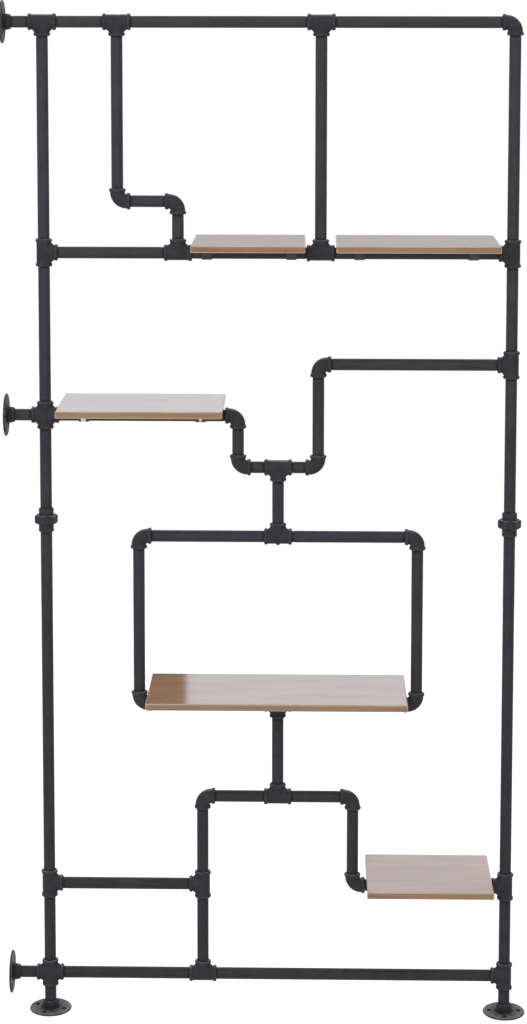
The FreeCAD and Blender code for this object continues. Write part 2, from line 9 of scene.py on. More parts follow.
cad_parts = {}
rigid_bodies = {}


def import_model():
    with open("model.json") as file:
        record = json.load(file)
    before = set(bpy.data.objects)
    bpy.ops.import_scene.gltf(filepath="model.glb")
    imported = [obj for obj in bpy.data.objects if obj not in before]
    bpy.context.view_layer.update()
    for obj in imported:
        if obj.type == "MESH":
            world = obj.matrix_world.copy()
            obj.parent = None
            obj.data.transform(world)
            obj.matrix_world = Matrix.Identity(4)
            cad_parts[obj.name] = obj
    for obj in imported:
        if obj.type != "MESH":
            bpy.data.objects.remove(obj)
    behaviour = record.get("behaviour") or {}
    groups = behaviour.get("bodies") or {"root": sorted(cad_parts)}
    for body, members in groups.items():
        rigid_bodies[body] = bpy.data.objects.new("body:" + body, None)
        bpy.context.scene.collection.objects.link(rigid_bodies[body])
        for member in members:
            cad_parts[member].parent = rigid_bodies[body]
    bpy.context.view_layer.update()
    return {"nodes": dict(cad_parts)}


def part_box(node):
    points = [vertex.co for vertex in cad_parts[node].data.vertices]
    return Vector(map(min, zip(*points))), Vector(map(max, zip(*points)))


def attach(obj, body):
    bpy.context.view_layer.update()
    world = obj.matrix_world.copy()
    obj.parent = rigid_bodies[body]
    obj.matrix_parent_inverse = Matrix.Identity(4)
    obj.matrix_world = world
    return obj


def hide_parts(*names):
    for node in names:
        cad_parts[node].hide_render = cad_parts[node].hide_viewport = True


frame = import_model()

print("frame loaded:", len(frame["nodes"]), "nodes")

scene = bpy.context.scene
mm = 0.001
weldGap = 0.00001                      # points closer than this, in metres, become one


def addObject(name, data):
    thing = bpy.data.objects.new(name, data)
    scene.collection.objects.link(thing)
    return thing


cameraSizes = {
    "place": (0.0788, -4.4439, 1.9699),
    "yaw": 0.0198,
    "pitch": 0.1103,
    "roll": 0.0008,
    "lens": 84.77,
    "shiftY": -0.26,
}


def addCamera(sizes):
    data = bpy.data.cameras.new("camera")
    data.lens = sizes["lens"]
    data.shift_y = sizes["shiftY"]
    camera = addObject("camera", data)
    camera.matrix_world = (Matrix.Translation(sizes["place"]) @ Matrix.Rotation(sizes["yaw"], 4, "Z")
                           @ Matrix.Rotation(math.pi / 2 - sizes["pitch"], 4, "X")
                           @ Matrix.Rotation(sizes["roll"], 4, "Z"))
    scene.camera = camera


addCamera(cameraSizes)
scene.view_settings.view_transform = "Standard"

bench = {}                             # holds the node tree that is being built


def openTree(tree, empty=False):
    bench["tree"] = tree
    if empty:
        tree.nodes.clear()


def plug(node, inputs):
    # an input takes a value, a socket, or a node, which stands for its first live output
    for key, value in inputs.items():
        socket = node.inputs[key]
        if isinstance(value, bpy.types.Node):
            value = next(out for out in value.outputs if out.enabled)
        if isinstance(value, bpy.types.NodeSocket):
            bench["tree"].links.new(value, socket)
        elif socket.type == "RGBA":
            socket.default_value = (*value, 1)
        else:
            socket.default_value = value


def addNode(kind, inputs=None, **settings):
    node = bench["tree"].nodes.new(kind)
    for name, value in settings.items():
        setattr(node, name, value)
    plug(node, inputs or {})
    return node


def maths(operation, *values):
    return addNode("ShaderNodeMath", dict(enumerate(values)), operation=operation).outputs[0]


def times(*values):
    total = values[0]
    for value in values[1:]:
        total = maths("MULTIPLY", total, value)
    return total


def timesPlus(a, b, c):
    return maths("MULTIPLY_ADD", a, b, c)


def remap(value, low, high, newLow=0.0, newHigh=1.0, smooth=False):
    node = addNode("ShaderNodeMapRange", {"Value": value, "From Min": low, "From Max": high,
                                          "To Min": newLow, "To Max": newHigh},
                   interpolation_type="SMOOTHSTEP" if smooth else "LINEAR")
    return node.outputs["Result"]


def mixColour(share, a, b, blend="MIX"):
    node = addNode("ShaderNodeMix", {"Factor": share, "A": a, "B": b}, data_type="RGBA",
                   blend_type=blend)
    return next(out for out in node.outputs if out.type == "RGBA")


def splitVector(vector):
    return addNode("ShaderNodeSeparateXYZ", {0: vector}).outputs


lightSizes = {
    "around": 0.28,                    # plain light from everywhere
    "tint": (0.97, 0.985, 1),
    "aim": (0, 0, 0.95),
    "lamps": {
        "front": {"watts": 158.0, "place": (-0.8, -4.3, 2.6), "size": 2.6},
        "back": {"watts": 50.0, "place": (0.3, 3.6, 3.4), "size": 2.4},
    },
    # what a shiny surface sees: sine of the height above the horizon, and the light there
    "mirrored": [
        (-0.05, (0.90, 0.90, 0.92)), (0.02, (0.80, 0.80, 0.82)), (0.08, (0.54, 0.55, 0.59)),
        (0.13, (0.64, 0.66, 0.71)), (0.17, (1.06, 1.21, 1.34)), (0.24, (1.30, 1.46, 1.67)),
        (0.31, (1.46, 1.70, 2.00)), (0.40, (1.45, 1.72, 2.04)), (0.52, (1.36, 1.51, 1.68)),
        (0.70, (1.70, 1.70, 1.70)),
    ],
    # a dark screen low at the back left, which the satin boards mirror
    "screen": {"right": -0.0535, "left": -0.17, "low": 0.25, "high": 0.42, "soft": 0.002,
               "fade": 0.02, "colour": (0.02, 0.02, 0.02)},
}


def addWorld(sizes):
    world = bpy.data.worlds.new("studio")
    world.use_nodes = True
    world.cycles.sampling_method = "NONE"
    scene.world = world
    openTree(world.node_tree, empty=True)
    across, deep, height = splitVector(addNode("ShaderNodeTexCoord").outputs["Generated"])
    ramp = addNode("ShaderNodeValToRGB", {"Fac": timesPlus(height, 0.5, 0.5)})
    top = max(max(colour) for _, colour in sizes["mirrored"])
    stops = ramp.color_ramp.elements
    stops.remove(stops[1])
    for number, (level, colour) in enumerate(sizes["mirrored"]):
        stop = stops[0] if number == 0 else stops.new((level + 1) / 2)
        stop.position = (level + 1) / 2
        stop.color = tuple(part / top for part in colour) + (1,)
    screen = sizes["screen"]
    slant = maths("DIVIDE", across, deep)
    covered = times(remap(slant, screen["right"] + screen["soft"], screen["right"], smooth=True),
                    remap(slant, screen["left"] - screen["fade"], screen["left"]),
                    remap(height, screen["low"] - screen["fade"], screen["low"]),
                    remap(height, screen["high"] + screen["fade"], screen["high"]),
                    maths("GREATER_THAN", deep, 0.0))
    shown = mixColour(covered, ramp.outputs["Color"], tuple(part / top for part in screen["colour"]))
    mirrored = addNode("ShaderNodeBackground", {"Color": shown, "Strength": top})
    around = addNode("ShaderNodeBackground", {"Color": sizes["tint"], "Strength": sizes["around"]})
    white = addNode("ShaderNodeBackground", {"Color": (1, 1, 1)})
    path = addNode("ShaderNodeLightPath").outputs
    direct = maths("MAXIMUM", path["Is Camera Ray"], path["Is Transmission Ray"])
    forGloss = addNode("ShaderNodeMixShader", {0: path["Is Glossy Ray"], 1: around, 2: mirrored})
    forCamera = addNode("ShaderNodeMixShader", {0: direct, 1: forGloss, 2: white})
    addNode("ShaderNodeOutputWorld", {"Surface": forCamera})


def addLamps(lamps, aim):
    for name, sizes in lamps.items():
        lamp = bpy.data.lights.new(name, "AREA")
        lamp.shape = "SQUARE"
        lamp.size = sizes["size"]
        lamp.energy = sizes["watts"]
        holder = addObject(name, lamp)
        place = Vector(sizes["place"])
        turn = (Vector(aim) - place).to_track_quat("-Z", "Y").to_matrix().to_4x4()
        holder.matrix_world = Matrix.Translation(place) @ turn
        holder.visible_camera = False
        holder.visible_glossy = False


addWorld(lightSizes)
addLamps(lightSizes["lamps"], lightSizes["aim"])

floorSizes = {"half": 3.0, "albedo": 0.6, "glow": 0.78}


def addFloor(sizes):
    half = sizes["half"]
    mesh = bpy.data.meshes.new("studioFloor")
    mesh.from_pydata([(-half, -half, 0), (half, -half, 0), (half, half, 0), (-half, half, 0)], [],
                     [(0, 1, 2, 3)])
    material = bpy.data.materials.new("studioFloor")
    material.use_nodes = True
    mesh.materials.append(material)
    openTree(material.node_tree, empty=True)
    path = addNode("ShaderNodeLightPath").outputs
    direct = maths("MAXIMUM", path["Is Camera Ray"], path["Is Glossy Ray"])
    mirrored = maths("MAXIMUM", direct, path["Is Transmission Ray"])
    matt = addNode("ShaderNodeBsdfDiffuse", {"Color": (sizes["albedo"],) * 3})
    glow = addNode("ShaderNodeEmission", {"Color": (1, 1, 1),
                                          "Strength": times(mirrored, sizes["glow"])})
    both = addNode("ShaderNodeAddShader", {0: matt, 1: glow})
    addNode("ShaderNodeOutputMaterial", {"Surface": both})
    addObject("studioFloor", mesh)


addFloor(floorSizes)
print("camera, light and floor ready")


def newMaterial(name):
    material = bpy.data.materials.new(name)
    material.use_nodes = True
    openTree(material.node_tree)
    return material, material.node_tree.nodes["Principled BSDF"]


def objectSpace(scale=(1, 1, 1), place=(0, 0, 0)):
    where = addNode("ShaderNodeTexCoord").outputs["Object"]
    return addNode("ShaderNodeMapping", {"Vector": where, "Scale": scale, "Location": place})


def attribute(name, output="Fac"):
    return addNode("ShaderNodeAttribute", attribute_name=name).outputs[output]


def facingUp():
    return splitVector(addNode("ShaderNodeNewGeometry").outputs["Normal"])["Z"]


def addNoise(space, scale, detail, rough, bend=0.0):
    return addNode("ShaderNodeTexNoise", {"Vector": space, "Scale": scale, "Detail": detail,
                                          "Roughness": rough, "Distortion": bend}).outputs["Fac"]


def addBump(shader, *heights):
    normal = {}
    for height, (strength, distance) in heights:
        normal = {"Normal": addNode("ShaderNodeBump", {"Height": height, "Strength": strength,
                                                       "Distance": distance, **normal})}
    plug(shader, normal)


# in every finish a noise is scale, detail, roughness and bend; a bump is strength and distance
pipeFinish = {
    "colour": (0.0265, 0.0260, 0.0305),
    # the paler tone, reached by random dust and, through the height term, by painted light
    "dusty": (0.0515, 0.0508, 0.0585),
    "oiled": (0.011, 0.0105, 0.0120),  # darker where the thread shows
    "oil": 0.65,
    "bare": (0.16, 0.16, 0.165),
    "rise": (0.2, 1.7, 0.0, 0.44),     # painted light: from this height to that, the paint grows paler by this much
    "rough": (0.48, 0.62),
    "specular": 0.16,
    "stretch": (0.035, 1, 1),
    "streaks": (420, 3, 0.6),
    "clouds": (26, 4, 0.55, 0.3),
    "grain": (1900, 2, 0.6),
    "chips": (330, 3, 0.7),
    "streakBump": (0.10, 0.00025),
    "grainBump": (0.16, 0.00012),
}


def makePipePaint(finish):
    material, shader = newMaterial("pipePaint")
    everywhere = objectSpace()
    lengthwise = addNode("ShaderNodeMapping", {"Vector": attribute("pipeSpace", "Vector"),
                                               "Scale": finish["stretch"]})
    streaks = addNoise(lengthwise, *finish["streaks"])
    clouds, grain, chips = (addNoise(everywhere, *finish[name]) for name in ("clouds", "grain", "chips"))
    tone = timesPlus(streaks, 0.5, times(clouds, 0.5))
    # the height term is painted light: the pipes grow paler towards the top, as if lit more from above
    tone = maths("ADD", remap(tone, 0.38, 0.66, -0.10, 0.60),
                 remap(splitVector(everywhere)["Z"], *finish["rise"]))
    colour = mixColour(tone, finish["colour"], finish["dusty"])
    screwed = attribute("thread")
    chipped = times(remap(chips, 0.64, 0.68, smooth=True), screwed)
    # darker where the thread shows outside each fitting
    colour = mixColour(times(screwed, finish["oil"]), colour, finish["oiled"])
    plug(shader, {"Base Color": mixColour(chipped, colour, finish["bare"]),
                  "Roughness": remap(clouds, 0.3, 0.7, *finish["rough"]),
                  "Specular IOR Level": finish["specular"]})
    addBump(shader, (streaks, finish["streakBump"]), (grain, finish["grainBump"]))
    return material


castFinish = {
    "colour": (0.0250, 0.0246, 0.0285),
    "dusty": (0.039, 0.0385, 0.0440),
    "settled": (0.232, 0.228, 0.247),  # dust on what faces up
    # painted shade, for the hollows and shaded sides of the flanges
    "grime": (0.010, 0.0095, 0.0110),
    # worn metal, and on the flange rims also a painted highlight
    "worn": (0.19, 0.19, 0.195),
    "polish": -0.14,                   # worn places are this much smoother
    "rough": (0.50, 0.66),
    "specular": 0.16,
    "clouds": (55, 4, 0.6, 0.4),
    "sand": (620, 4, 0.7),
    "grain": (2300, 2, 0.6),
    "specks": (130, 4, 0.65),
    "rubs": (240, 4, 0.7),
    "cloudBump": (0.18, 0.0006),
    "sandBump": (0.26, 0.00030),
    "grainBump": (0.12, 0.00010),
}


def makeCastIron(finish):
    material, shader = newMaterial("castIron")
    everywhere = objectSpace()
    clouds, sand, grain, specks, rubs = (addNoise(everywhere, *finish[name]) for name in
                                         ("clouds", "sand", "grain", "specks", "rubs"))
    tone = remap(timesPlus(clouds, 0.6, times(sand, 0.4)), 0.36, 0.66)
    colour = mixColour(tone, finish["colour"], finish["dusty"])
    settled = times(remap(facingUp(), 0.75, 0.98, smooth=True), remap(specks, 0.35, 0.65, 0.30, 0.95))
    colour = mixColour(settled, colour, finish["settled"])
    wear = attribute("wear")           # below 0 is painted shade, above 0 is rubbed wear
    colour = mixColour(remap(wear, 0.0, -1.0), colour, finish["grime"])
    rubbed = times(remap(rubs, 0.40, 0.60, smooth=True), remap(wear, 0.0, 1.0))
    rough = timesPlus(rubbed, finish["polish"], remap(sand, 0.3, 0.7, *finish["rough"]))
    plug(shader, {"Base Color": mixColour(rubbed, colour, finish["worn"]), "Roughness": rough,
                  "Specular IOR Level": finish["specular"]})
    addBump(shader, (clouds, finish["cloudBump"]), (sand, finish["sandBump"]),
            (grain, finish["grainBump"]))
    return material


woodFinish = {
    "pale": (0.385, 0.230, 0.118),
    "middle": (0.300, 0.170, 0.078),
    "rosy": (0.335, 0.178, 0.102),
    "deep": (0.150, 0.074, 0.032),
    "olive": (0.345, 0.220, 0.106),
    "dark": (0.230, 0.112, 0.074),
    "sandedAndLit": (0.60, 0.50, 0.38),      # the eased edges, paler where the lacquer is thin, and a painted highlight along them
    "lacquered": (1.32, 1.24, 1.14),   # how much the lacquer warms the two faces
    "rough": (0.45, 0.60),
    "specular": 0.06,
    "coat": {"Coat Weight": 1.0, "Coat Roughness": 0.045, "Coat IOR": 1.5},
    "stave": 0.043,                    # the boards are glued up from strips this wide
    "firstStave": 0.117,
    "floors": 8.7,                     # boards at different heights come from other planks
    "rings": 300.0,
    # how each grain is stretched, with its detail and roughness
    "slow": ((0.9, 6, 6), 2, 0.5),
    "quick": ((3.0, 26, 26), 3, 0.55),
    "fibres": ((26, 900, 900), 3, 0.62),
    "pores": ((45, 1900, 1900), 2, 0.5),
    "patches": ((6.0, 22, 120), 3, 0.5),
    "broad": ((5, 26, 70), 3, 0.5),
    "lateBump": (0.04, 0.0002),
    "fibreBump": (0.05, 0.00016),
}


def makeBoardWood(finish):
    material, shader = newMaterial("boardWood")

    def grain(name, place=(0, 0, 0)):
        stretch, detail, rough = finish[name]
        return addNoise(objectSpace(stretch, place), 1.0, detail, rough)

    alongX, deepY, upZ = splitVector(addNode("ShaderNodeTexCoord").outputs["Object"])
    # each strip has its own tone and its own place in the trunk
    strip = maths("DIVIDE", maths("ADD", deepY, finish["firstStave"]), finish["stave"])
    cell = addNode("ShaderNodeCombineXYZ", {0: maths("FLOOR", strip),
                                            1: maths("FLOOR", times(upZ, finish["floors"]))})
    chance = addNode("ShaderNodeTexWhiteNoise", {"Vector": cell}, noise_dimensions="2D")
    tilt, shift, blush = addNode("ShaderNodeSeparateColor", {0: chance.outputs["Color"]}).outputs
    # growth rings about a leaning pith, bent a little by slow noise
    ringZ = timesPlus(alongX, times(maths("SUBTRACT", tilt, 0.5), 0.04), upZ)
    ringZ = timesPlus(grain("slow"), 0.022, ringZ)
    ringZ = timesPlus(grain("quick"), 0.0035, ringZ)
    ringY = maths("ABSOLUTE", timesPlus(shift, 0.06, deepY))
    ringY = times(maths("POWER", ringY, 2.0), 1.3)
    phase = maths("FRACT", times(maths("ADD", ringZ, ringY), finish["rings"]))
    late = times(remap(phase, 0.30, 0.90, smooth=True), remap(phase, 0.90, 1.0, 1.0, 0.0))
    fibres, pores, patches = grain("fibres"), grain("pores"), grain("patches")
    broad = grain("broad", (3.1, 0.4, 0.0))
    # the grain shows more on the sides of a board than on its lacquered face
    onSide = remap(maths("ABSOLUTE", facingUp()), 0.9, 0.4)

    def bySide(face, side=1.0):
        return remap(onSide, 0.0, 1.0, face, side)

    colour = mixColour(remap(patches, 0.34, 0.66), finish["middle"], finish["pale"])
    for share, stain in (
            (remap(blush, 0.2, 0.9, 0.0, 0.7), "rosy"),
            (times(remap(broad, 0.50, 0.70, 0.0, 0.85), bySide(0.5)), "dark"),
            (remap(broad, 0.48, 0.34, 0.0, 0.80), "olive"),
            (times(late, bySide(0.12, 0.50)), "deep"),
            (times(remap(fibres, 0.45, 0.78, 0.0, 0.26), bySide(0.4)), "deep"),
            (times(remap(pores, 0.62, 0.72, 0.0, 0.30, smooth=True), bySide(0.4)), "deep"),
            (remap(maths("PINGPONG", strip, 0.5), 0.0, 0.010, 0.30, 0.0), "deep")):
        colour = mixColour(share, colour, finish[stain])
    colour = mixColour(bySide(1.0, 0.0), colour, finish["lacquered"], "MULTIPLY")
    # the pale eased edges are partly thin lacquer and partly a painted highlight
    paleArris = times(attribute("arris"), remap(patches, 0.3, 0.6, 0.25, 0.70))
    plug(shader, {"Base Color": mixColour(paleArris, colour, finish["sandedAndLit"]),
                  "Roughness": remap(fibres, 0.3, 0.7, *finish["rough"]),
                  "Specular IOR Level": finish["specular"], **finish["coat"]})
    addBump(shader, (late, finish["lateBump"]), (fibres, finish["fibreBump"]))
    return material


strapFinish = {
    "colour": (0.0215, 0.0210, 0.0250),
    "zinc": (0.62, 0.62, 0.63),
    "rough": (0.38, 0.52),
    "clouds": (90, 3, 0.6),
    "grain": (1500, 2, 0.6),
    "grainBump": (0.12, 0.00010),
}


def makeStrapPaint(finish):
    material, shader = newMaterial("strapPaint")
    everywhere = objectSpace()
    clouds, grain = (addNoise(everywhere, *finish[name]) for name in ("clouds", "grain"))
    middle = remap(maths("ABSOLUTE", attribute("across")), 0.75, 1.1, 1.0, 0.0, smooth=True)
    # bare zinc in the strap's middle: worn paint that also stands in for glints
    rubbed = times(remap(clouds, 0.40, 0.48, smooth=True), middle)
    plug(shader, {"Base Color": mixColour(rubbed, finish["colour"], finish["zinc"]),
                  "Metallic": rubbed, "Roughness": remap(clouds, 0.3, 0.7, *finish["rough"])})
    addBump(shader, (grain, finish["grainBump"]))
    return material


screwFinish = {
    "bright": (0.56, 0.56, 0.57),
    "dull": (0.36, 0.36, 0.38),
    "rough": (0.24, 0.42),
    "clouds": (500, 3, 0.6),
    "brushed": (6000, 2, 0.6),
    "brushedBump": (0.10, 0.00005),
}


def makeScrewSteel(finish):
    material, shader = newMaterial("screwSteel")
    clouds = addNoise(objectSpace(), *finish["clouds"])
    brushed = addNoise(objectSpace((1, 1, 0.05)), *finish["brushed"])
    plug(shader, {"Base Color": mixColour(remap(clouds, 0.35, 0.65), finish["bright"], finish["dull"]),
                  "Roughness": remap(brushed, 0.3, 0.7, *finish["rough"]), "Metallic": 1.0})
    addBump(shader, (brushed, finish["brushedBump"]))
    return material


pipePaint = makePipePaint(pipeFinish)
castIron = makeCastIron(castFinish)
boardWood = makeBoardWood(woodFinish)
strapPaint = makeStrapPaint(strapFinish)
screwSteel = makeScrewSteel(screwFinish)
print("materials ready")


def pieceName(node):
    first, *rest = node.split("_")
    return first + "".join(word.capitalize() for word in rest)


def boxOf(node):
    return [np.array(corner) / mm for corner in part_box(node)]


def rounded(corners, steps=3):
    # corners are (x, y) or (x, y, cut): a cut corner becomes a short curve
    line = [tuple(corners[0][:2])]
    for before, corner, after in zip(corners, corners[1:], corners[2:]):
        here = np.array(corner[:2], float)
        if len(corner) < 3:
            line.append(tuple(here))
            continue
        first = np.array(before[:2], float) - here
        second = np.array(after[:2], float) - here
        start = here + first * corner[2] / np.linalg.norm(first)
        end = here + second * corner[2] / np.linalg.norm(second)
        for i in range(steps + 1):
            t = i / steps
            line.append(tuple((1 - t) ** 2 * start + 2 * t * (1 - t) * here + t * t * end))
    line.append(tuple(corners[-1][:2]))
    return line


def gridFaces(rows, columns, offset=0, closeRows=False):
    faces = []
    for row in range(rows if closeRows else rows - 1):
        near, far = offset + row * columns, offset + (row + 1) % rows * columns
        for column in range(columns):
            after = (column + 1) % columns
            faces.append((near + column, near + after, far + after, far + column))
    return faces


def columnAngles(columns):
    return np.arange(columns) * 2 * math.pi / columns


def turnedRows(outline, turn):
    # rings about an upright axis from (radius, height); a radius may differ from column to column
    return [np.column_stack([radius * np.cos(turn), radius * np.sin(turn), np.full(len(turn), height)])
            for radius, height in outline]


def spun(degrees):
    # points @ spun(degrees) turns them about the upright axis
    angle = math.radians(degrees)
    return np.array([[math.cos(angle), math.sin(angle), 0], [-math.sin(angle), math.cos(angle), 0],
                     [0, 0, 1]])


def finishMesh(mesh, sharp=40.0):
    shape = bmesh.new()
    shape.from_mesh(mesh)
    bmesh.ops.remove_doubles(shape, verts=shape.verts, dist=weldGap)
    bmesh.ops.dissolve_degenerate(shape, edges=shape.edges, dist=weldGap / 10)
    bmesh.ops.recalc_face_normals(shape, faces=shape.faces)
    if shape.calc_volume(signed=True) < 0:       # a closed shell that came out inside out
        bmesh.ops.reverse_faces(shape, faces=shape.faces)
    shape.to_mesh(mesh)
    shape.free()
    mesh.polygons.foreach_set("use_smooth", [True] * len(mesh.polygons))
    mesh.set_sharp_from_angle(angle=math.radians(sharp))
    mesh.update()


def addAttribute(mesh, label, values):
    layer = mesh.attributes.new(label, "FLOAT", "POINT")
    layer.data.foreach_set("value", np.asarray(values, np.float32))


def newMesh(name, points, edges=(), faces=(), **attributes):
    # points are in millimetres
    mesh = bpy.data.meshes.new(name)
    mesh.from_pydata((np.asarray(points) * mm).tolist(), edges, faces)
    for label, values in attributes.items():
        addAttribute(mesh, label, values)
    return mesh


def settle(piece, material, node):
    if not piece.data.materials:
        piece.data.materials.append(material)
    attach(piece, "root")
    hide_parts(node)


def settleCasting(node, points, faces, wear, sharp=40.0):
    mesh = newMesh(pieceName(node), points, [], faces, wear=wear)
    finishMesh(mesh, sharp)
    settle(addObject(pieceName(node), mesh), castIron, node)


def solidBoxes(node):
    # the lowest and highest corner of each separate solid in a node, in millimetres
    shape = bmesh.new()
    shape.from_mesh(frame["nodes"][node].data)
    bmesh.ops.remove_doubles(shape, verts=shape.verts, dist=weldGap)
    left, boxes = set(shape.verts), []
    while left:
        waiting, members = [left.pop()], []
        while waiting:
            vertex = waiting.pop()
            members.append(tuple(vertex.co))
            near = {edge.other_vert(vertex) for edge in vertex.link_edges} & left
            left -= near
            waiting += near
        cloud = np.array(members) / mm
        boxes.append((cloud.min(0), cloud.max(0)))
    shape.free()
    return sorted(boxes, key=lambda pair: tuple(np.round(pair[0], 2)))


fittingSizes = {
    "reach": 26.0,                     # from the middle of a tee or a cross to each face
    "elbowReach": 24.0,
    "body": 13.6,
    "bore": 9.0,
    "socket": 10.97,
    "socketStart": 13.0,
    "mouth": 11.6,                     # what is wider than this is outside
    "plainEnd": 17.6,                  # where the bead's root begins
    "bend": 17.0,
    "bendRows": 13,
    "crotch": 10.5,                    # softness of the corner between two arms
    "crotchRows": 11,
    "crown": 14.4,                     # the beads are worn from this radius up
    "rubbed": 0.12,
    "seam": 0.20,
    "seamWide": 0.75,
    "unevenness": 0.11,
    "waves": (9.0, 3.1, 0.45),         # two lengths, and the share of the second
}

# distance along the arm and radius, with how much of each corner is cut
beadOutline = [
    (17.6, 13.6), (19.2, 13.6, 0.9), (20.9, 15.4, 0.9), (24.6, 15.4, 1.1), (26.0, 12.9, 0.5),
    (26.0, 11.6, 0.25), (25.1, 10.97, 0.3), (21.0, 10.97),
]

roundAngles = [0, 8, 16, 24, 32, 40, 48, 56, 64, 72, 79, 84, 87, 88.6]
armAngles = np.radians([a + q for q in (0, 90, 180, 270)
                        for a in (roundAngles if q in (0, 180) else
                                  [0] + [90 - x for x in reversed(roundAngles[1:])])])


def armDirection(angle):
    turn = math.radians(angle)
    return np.array([round(math.cos(turn)), 0.0, round(math.sin(turn))])


def armRing(side, radius, centre):
    ring = np.outer(np.sin(armAngles) * radius, side)
    ring[:, 1] = np.cos(armAngles) * radius
    return ring + centre


def creaseStart(angle, arms, radius):
    # beside a neighbouring arm each column starts on the line where the two meet
    rises = np.sin(armAngles)
    meets = np.where(rises > 0, (angle + 90) % 360 in arms, (angle - 90) % 360 in arms)
    return np.where(meets, np.abs(rises) * radius, 0)


def branchedRows(arms, sizes):
    rows, faces = [], []
    steps = np.linspace(0, 1, sizes["crotchRows"], endpoint=False) ** 1.15
    for angle in arms:
        along = armDirection(angle)
        side = np.array([-along[2], 0.0, along[0]])
        outer = creaseStart(angle, arms, sizes["body"])
        inner = creaseStart(angle, arms, sizes["bore"])
        profile = [(outer + (sizes["plainEnd"] - outer) * step, sizes["body"]) for step in steps]
        profile += rounded(beadOutline)
        profile += [(sizes["socketStart"], sizes[part]) for part in ("socket", "bore")]
        profile += [(inner + (sizes["socketStart"] - inner) * step, sizes["bore"]) for step in (0.5, 0.0)]
        faces += gridFaces(len(profile), len(armAngles), len(rows) * len(armAngles))
        rows += [(armRing(side, radius, np.multiply.outer(distance, along)), radius)
                 for distance, radius in profile]
    return rows, faces


def elbowRows(arms, sizes):
    # one tube from face to face round the bend
    alongA, alongB = (armDirection(angle) for angle in arms)
    bend, shorter = sizes["bend"], sizes["reach"] - sizes["elbowReach"]
    profile = [(distance - shorter, radius) for distance, radius in rounded(beadOutline)
               if distance - shorter > bend]
    middle = (alongA + alongB) * bend

    def straight(along, away, part):
        return [(armRing(away, radius, along * distance), radius) for distance, radius in part]

    def bent(start, end, count, radius):
        inward = [alongB * math.cos(a) + alongA * math.sin(a)
                  for a in np.radians(np.linspace(start, end, count))]
        return [(armRing(way, radius, middle - way * bend), radius) for way in inward]

    seat = [(bend + 0.5, sizes["socket"]), (bend + 0.5, sizes["bore"])]
    rows = (straight(alongA, alongB, reversed(profile))
            + bent(0, 90, sizes["bendRows"], sizes["body"])
            + straight(alongB, alongA, profile + seat)
            + bent(90, 0, sizes["bendRows"] // 2 + 1, sizes["bore"])
            + straight(alongA, alongB, reversed(seat)))
    return rows, gridFaces(len(rows), len(armAngles), closeRows=True)


def blend(a, b, soft):
    # the smaller of two lengths, softened where they meet, and how much of it is b
    share = np.clip(0.5 + 0.5 * (a - b) / soft, 0, 1)
    return a * (1 - share) + b * share - soft * share * (1 - share), share


def softenCrotch(points, outer, arms, sizes):
    # moves the outside onto a smooth union of the two cylinders
    body = sizes["body"]
    reach = min(body + sizes["crotch"], sizes["plainEnd"] + 1.1)
    moved = points.copy()
    near = outer & (np.abs(points[:, 0]) < reach) & (np.abs(points[:, 2]) < reach)
    for _ in range(4):
        p = moved[near]
        x, y, z = p.T
        acrossX, acrossZ = np.hypot(y, z), np.hypot(x, y)
        slopeX = p * [0, 1, 1] / acrossX[:, None]
        slopeZ = p * [1, 1, 0] / np.maximum(acrossZ, 1e-6)[:, None]
        corner = np.where(x >= 0, 0 in arms, 180 in arms) & np.where(z >= 0, 90 in arms, 270 in arms)
        soft = np.where(corner, sizes["crotch"] * np.clip(1 - (y / body) ** 2, 0, 1), 0) + 1e-6
        level, share = blend(acrossZ - body, acrossX - body, soft)
        slope = slopeZ * (1 - share)[:, None] + slopeX * share[:, None]
        size = np.maximum(np.sum(slope * slope, 1), 0.2)
        moved[near] = p - slope * np.where(corner, level / size, 0)[:, None]
    return moved


def roughCast(points, outer, sizes, seed):
    # faint unevenness of a sand casting, and the line where the two halves of the mould met
    middle = np.array([seed * 13.7, seed * 5.1, seed * 9.3])
    long, short, share = sizes["waves"]
    moved = points.copy()
    for index in np.flatnonzero(outer):
        p = points[index]
        wave = noise.noise(Vector((p + middle) / long)) + share * noise.noise(Vector((p + middle) / short))
        out = np.array([p[0], 0.0, p[2]])
        lift = sizes["seam"] * math.exp(-(p[1] / sizes["seamWide"]) ** 2)
        radial = p / max(np.linalg.norm(p), 1e-6)
        moved[index] = (p + radial * wave * sizes["unevenness"]
                        + out / max(math.hypot(p[0], p[2]), 1e-6) * lift)
    return moved


def fittingMiddle(node, arms):
    low, high = boxOf(node)
    reach = fittingSizes["elbowReach" if len(arms) == 2 else "reach"]
    middle = np.zeros(3)
    for axis, plus, minus in ((0, 0, 180), (2, 90, 270)):
        if plus in arms and minus in arms:
            middle[axis] = (low[axis] + high[axis]) / 2
        elif plus in arms:
            middle[axis] = high[axis] - reach
        else:
            middle[axis] = low[axis] + reach
    return middle


# the way each branch points: 0 is right, 90 is up
teeBranches = {
    0: ["left_post_upper", "left_post_lower"],
    90: ["upper_rail_outer", "upper_rail_inner", "loop_top", "bridge_top", "bottom_rail"],
    180: ["right_post_upper", "right_post_high", "right_post_lower", "right_post_bottom",
          "bridge_leg"],
    270: ["left_post_top", "top_rail_outer", "top_rail_inner", "dip_centre", "loop_bottom"],
}
crossNames = ["left_post_middle", "left_post_bottom"]
elbowArms = {
    90: ["jog_outer", "dip_left_low", "loop_bottom_left", "leg_foot"],
    0: ["dip_right_high", "loop_top_left", "bridge_left"],
    270: ["right_post_top", "jog_inner", "dip_left_high", "loop_top_right", "bridge_right"],
    180: ["dip_right_low", "loop_bottom_right"],
}
nubSizes = {"node": "tee_loop_top", "radius": 3.6, "height": 2.4, "root": 1.2, "columns": 20}


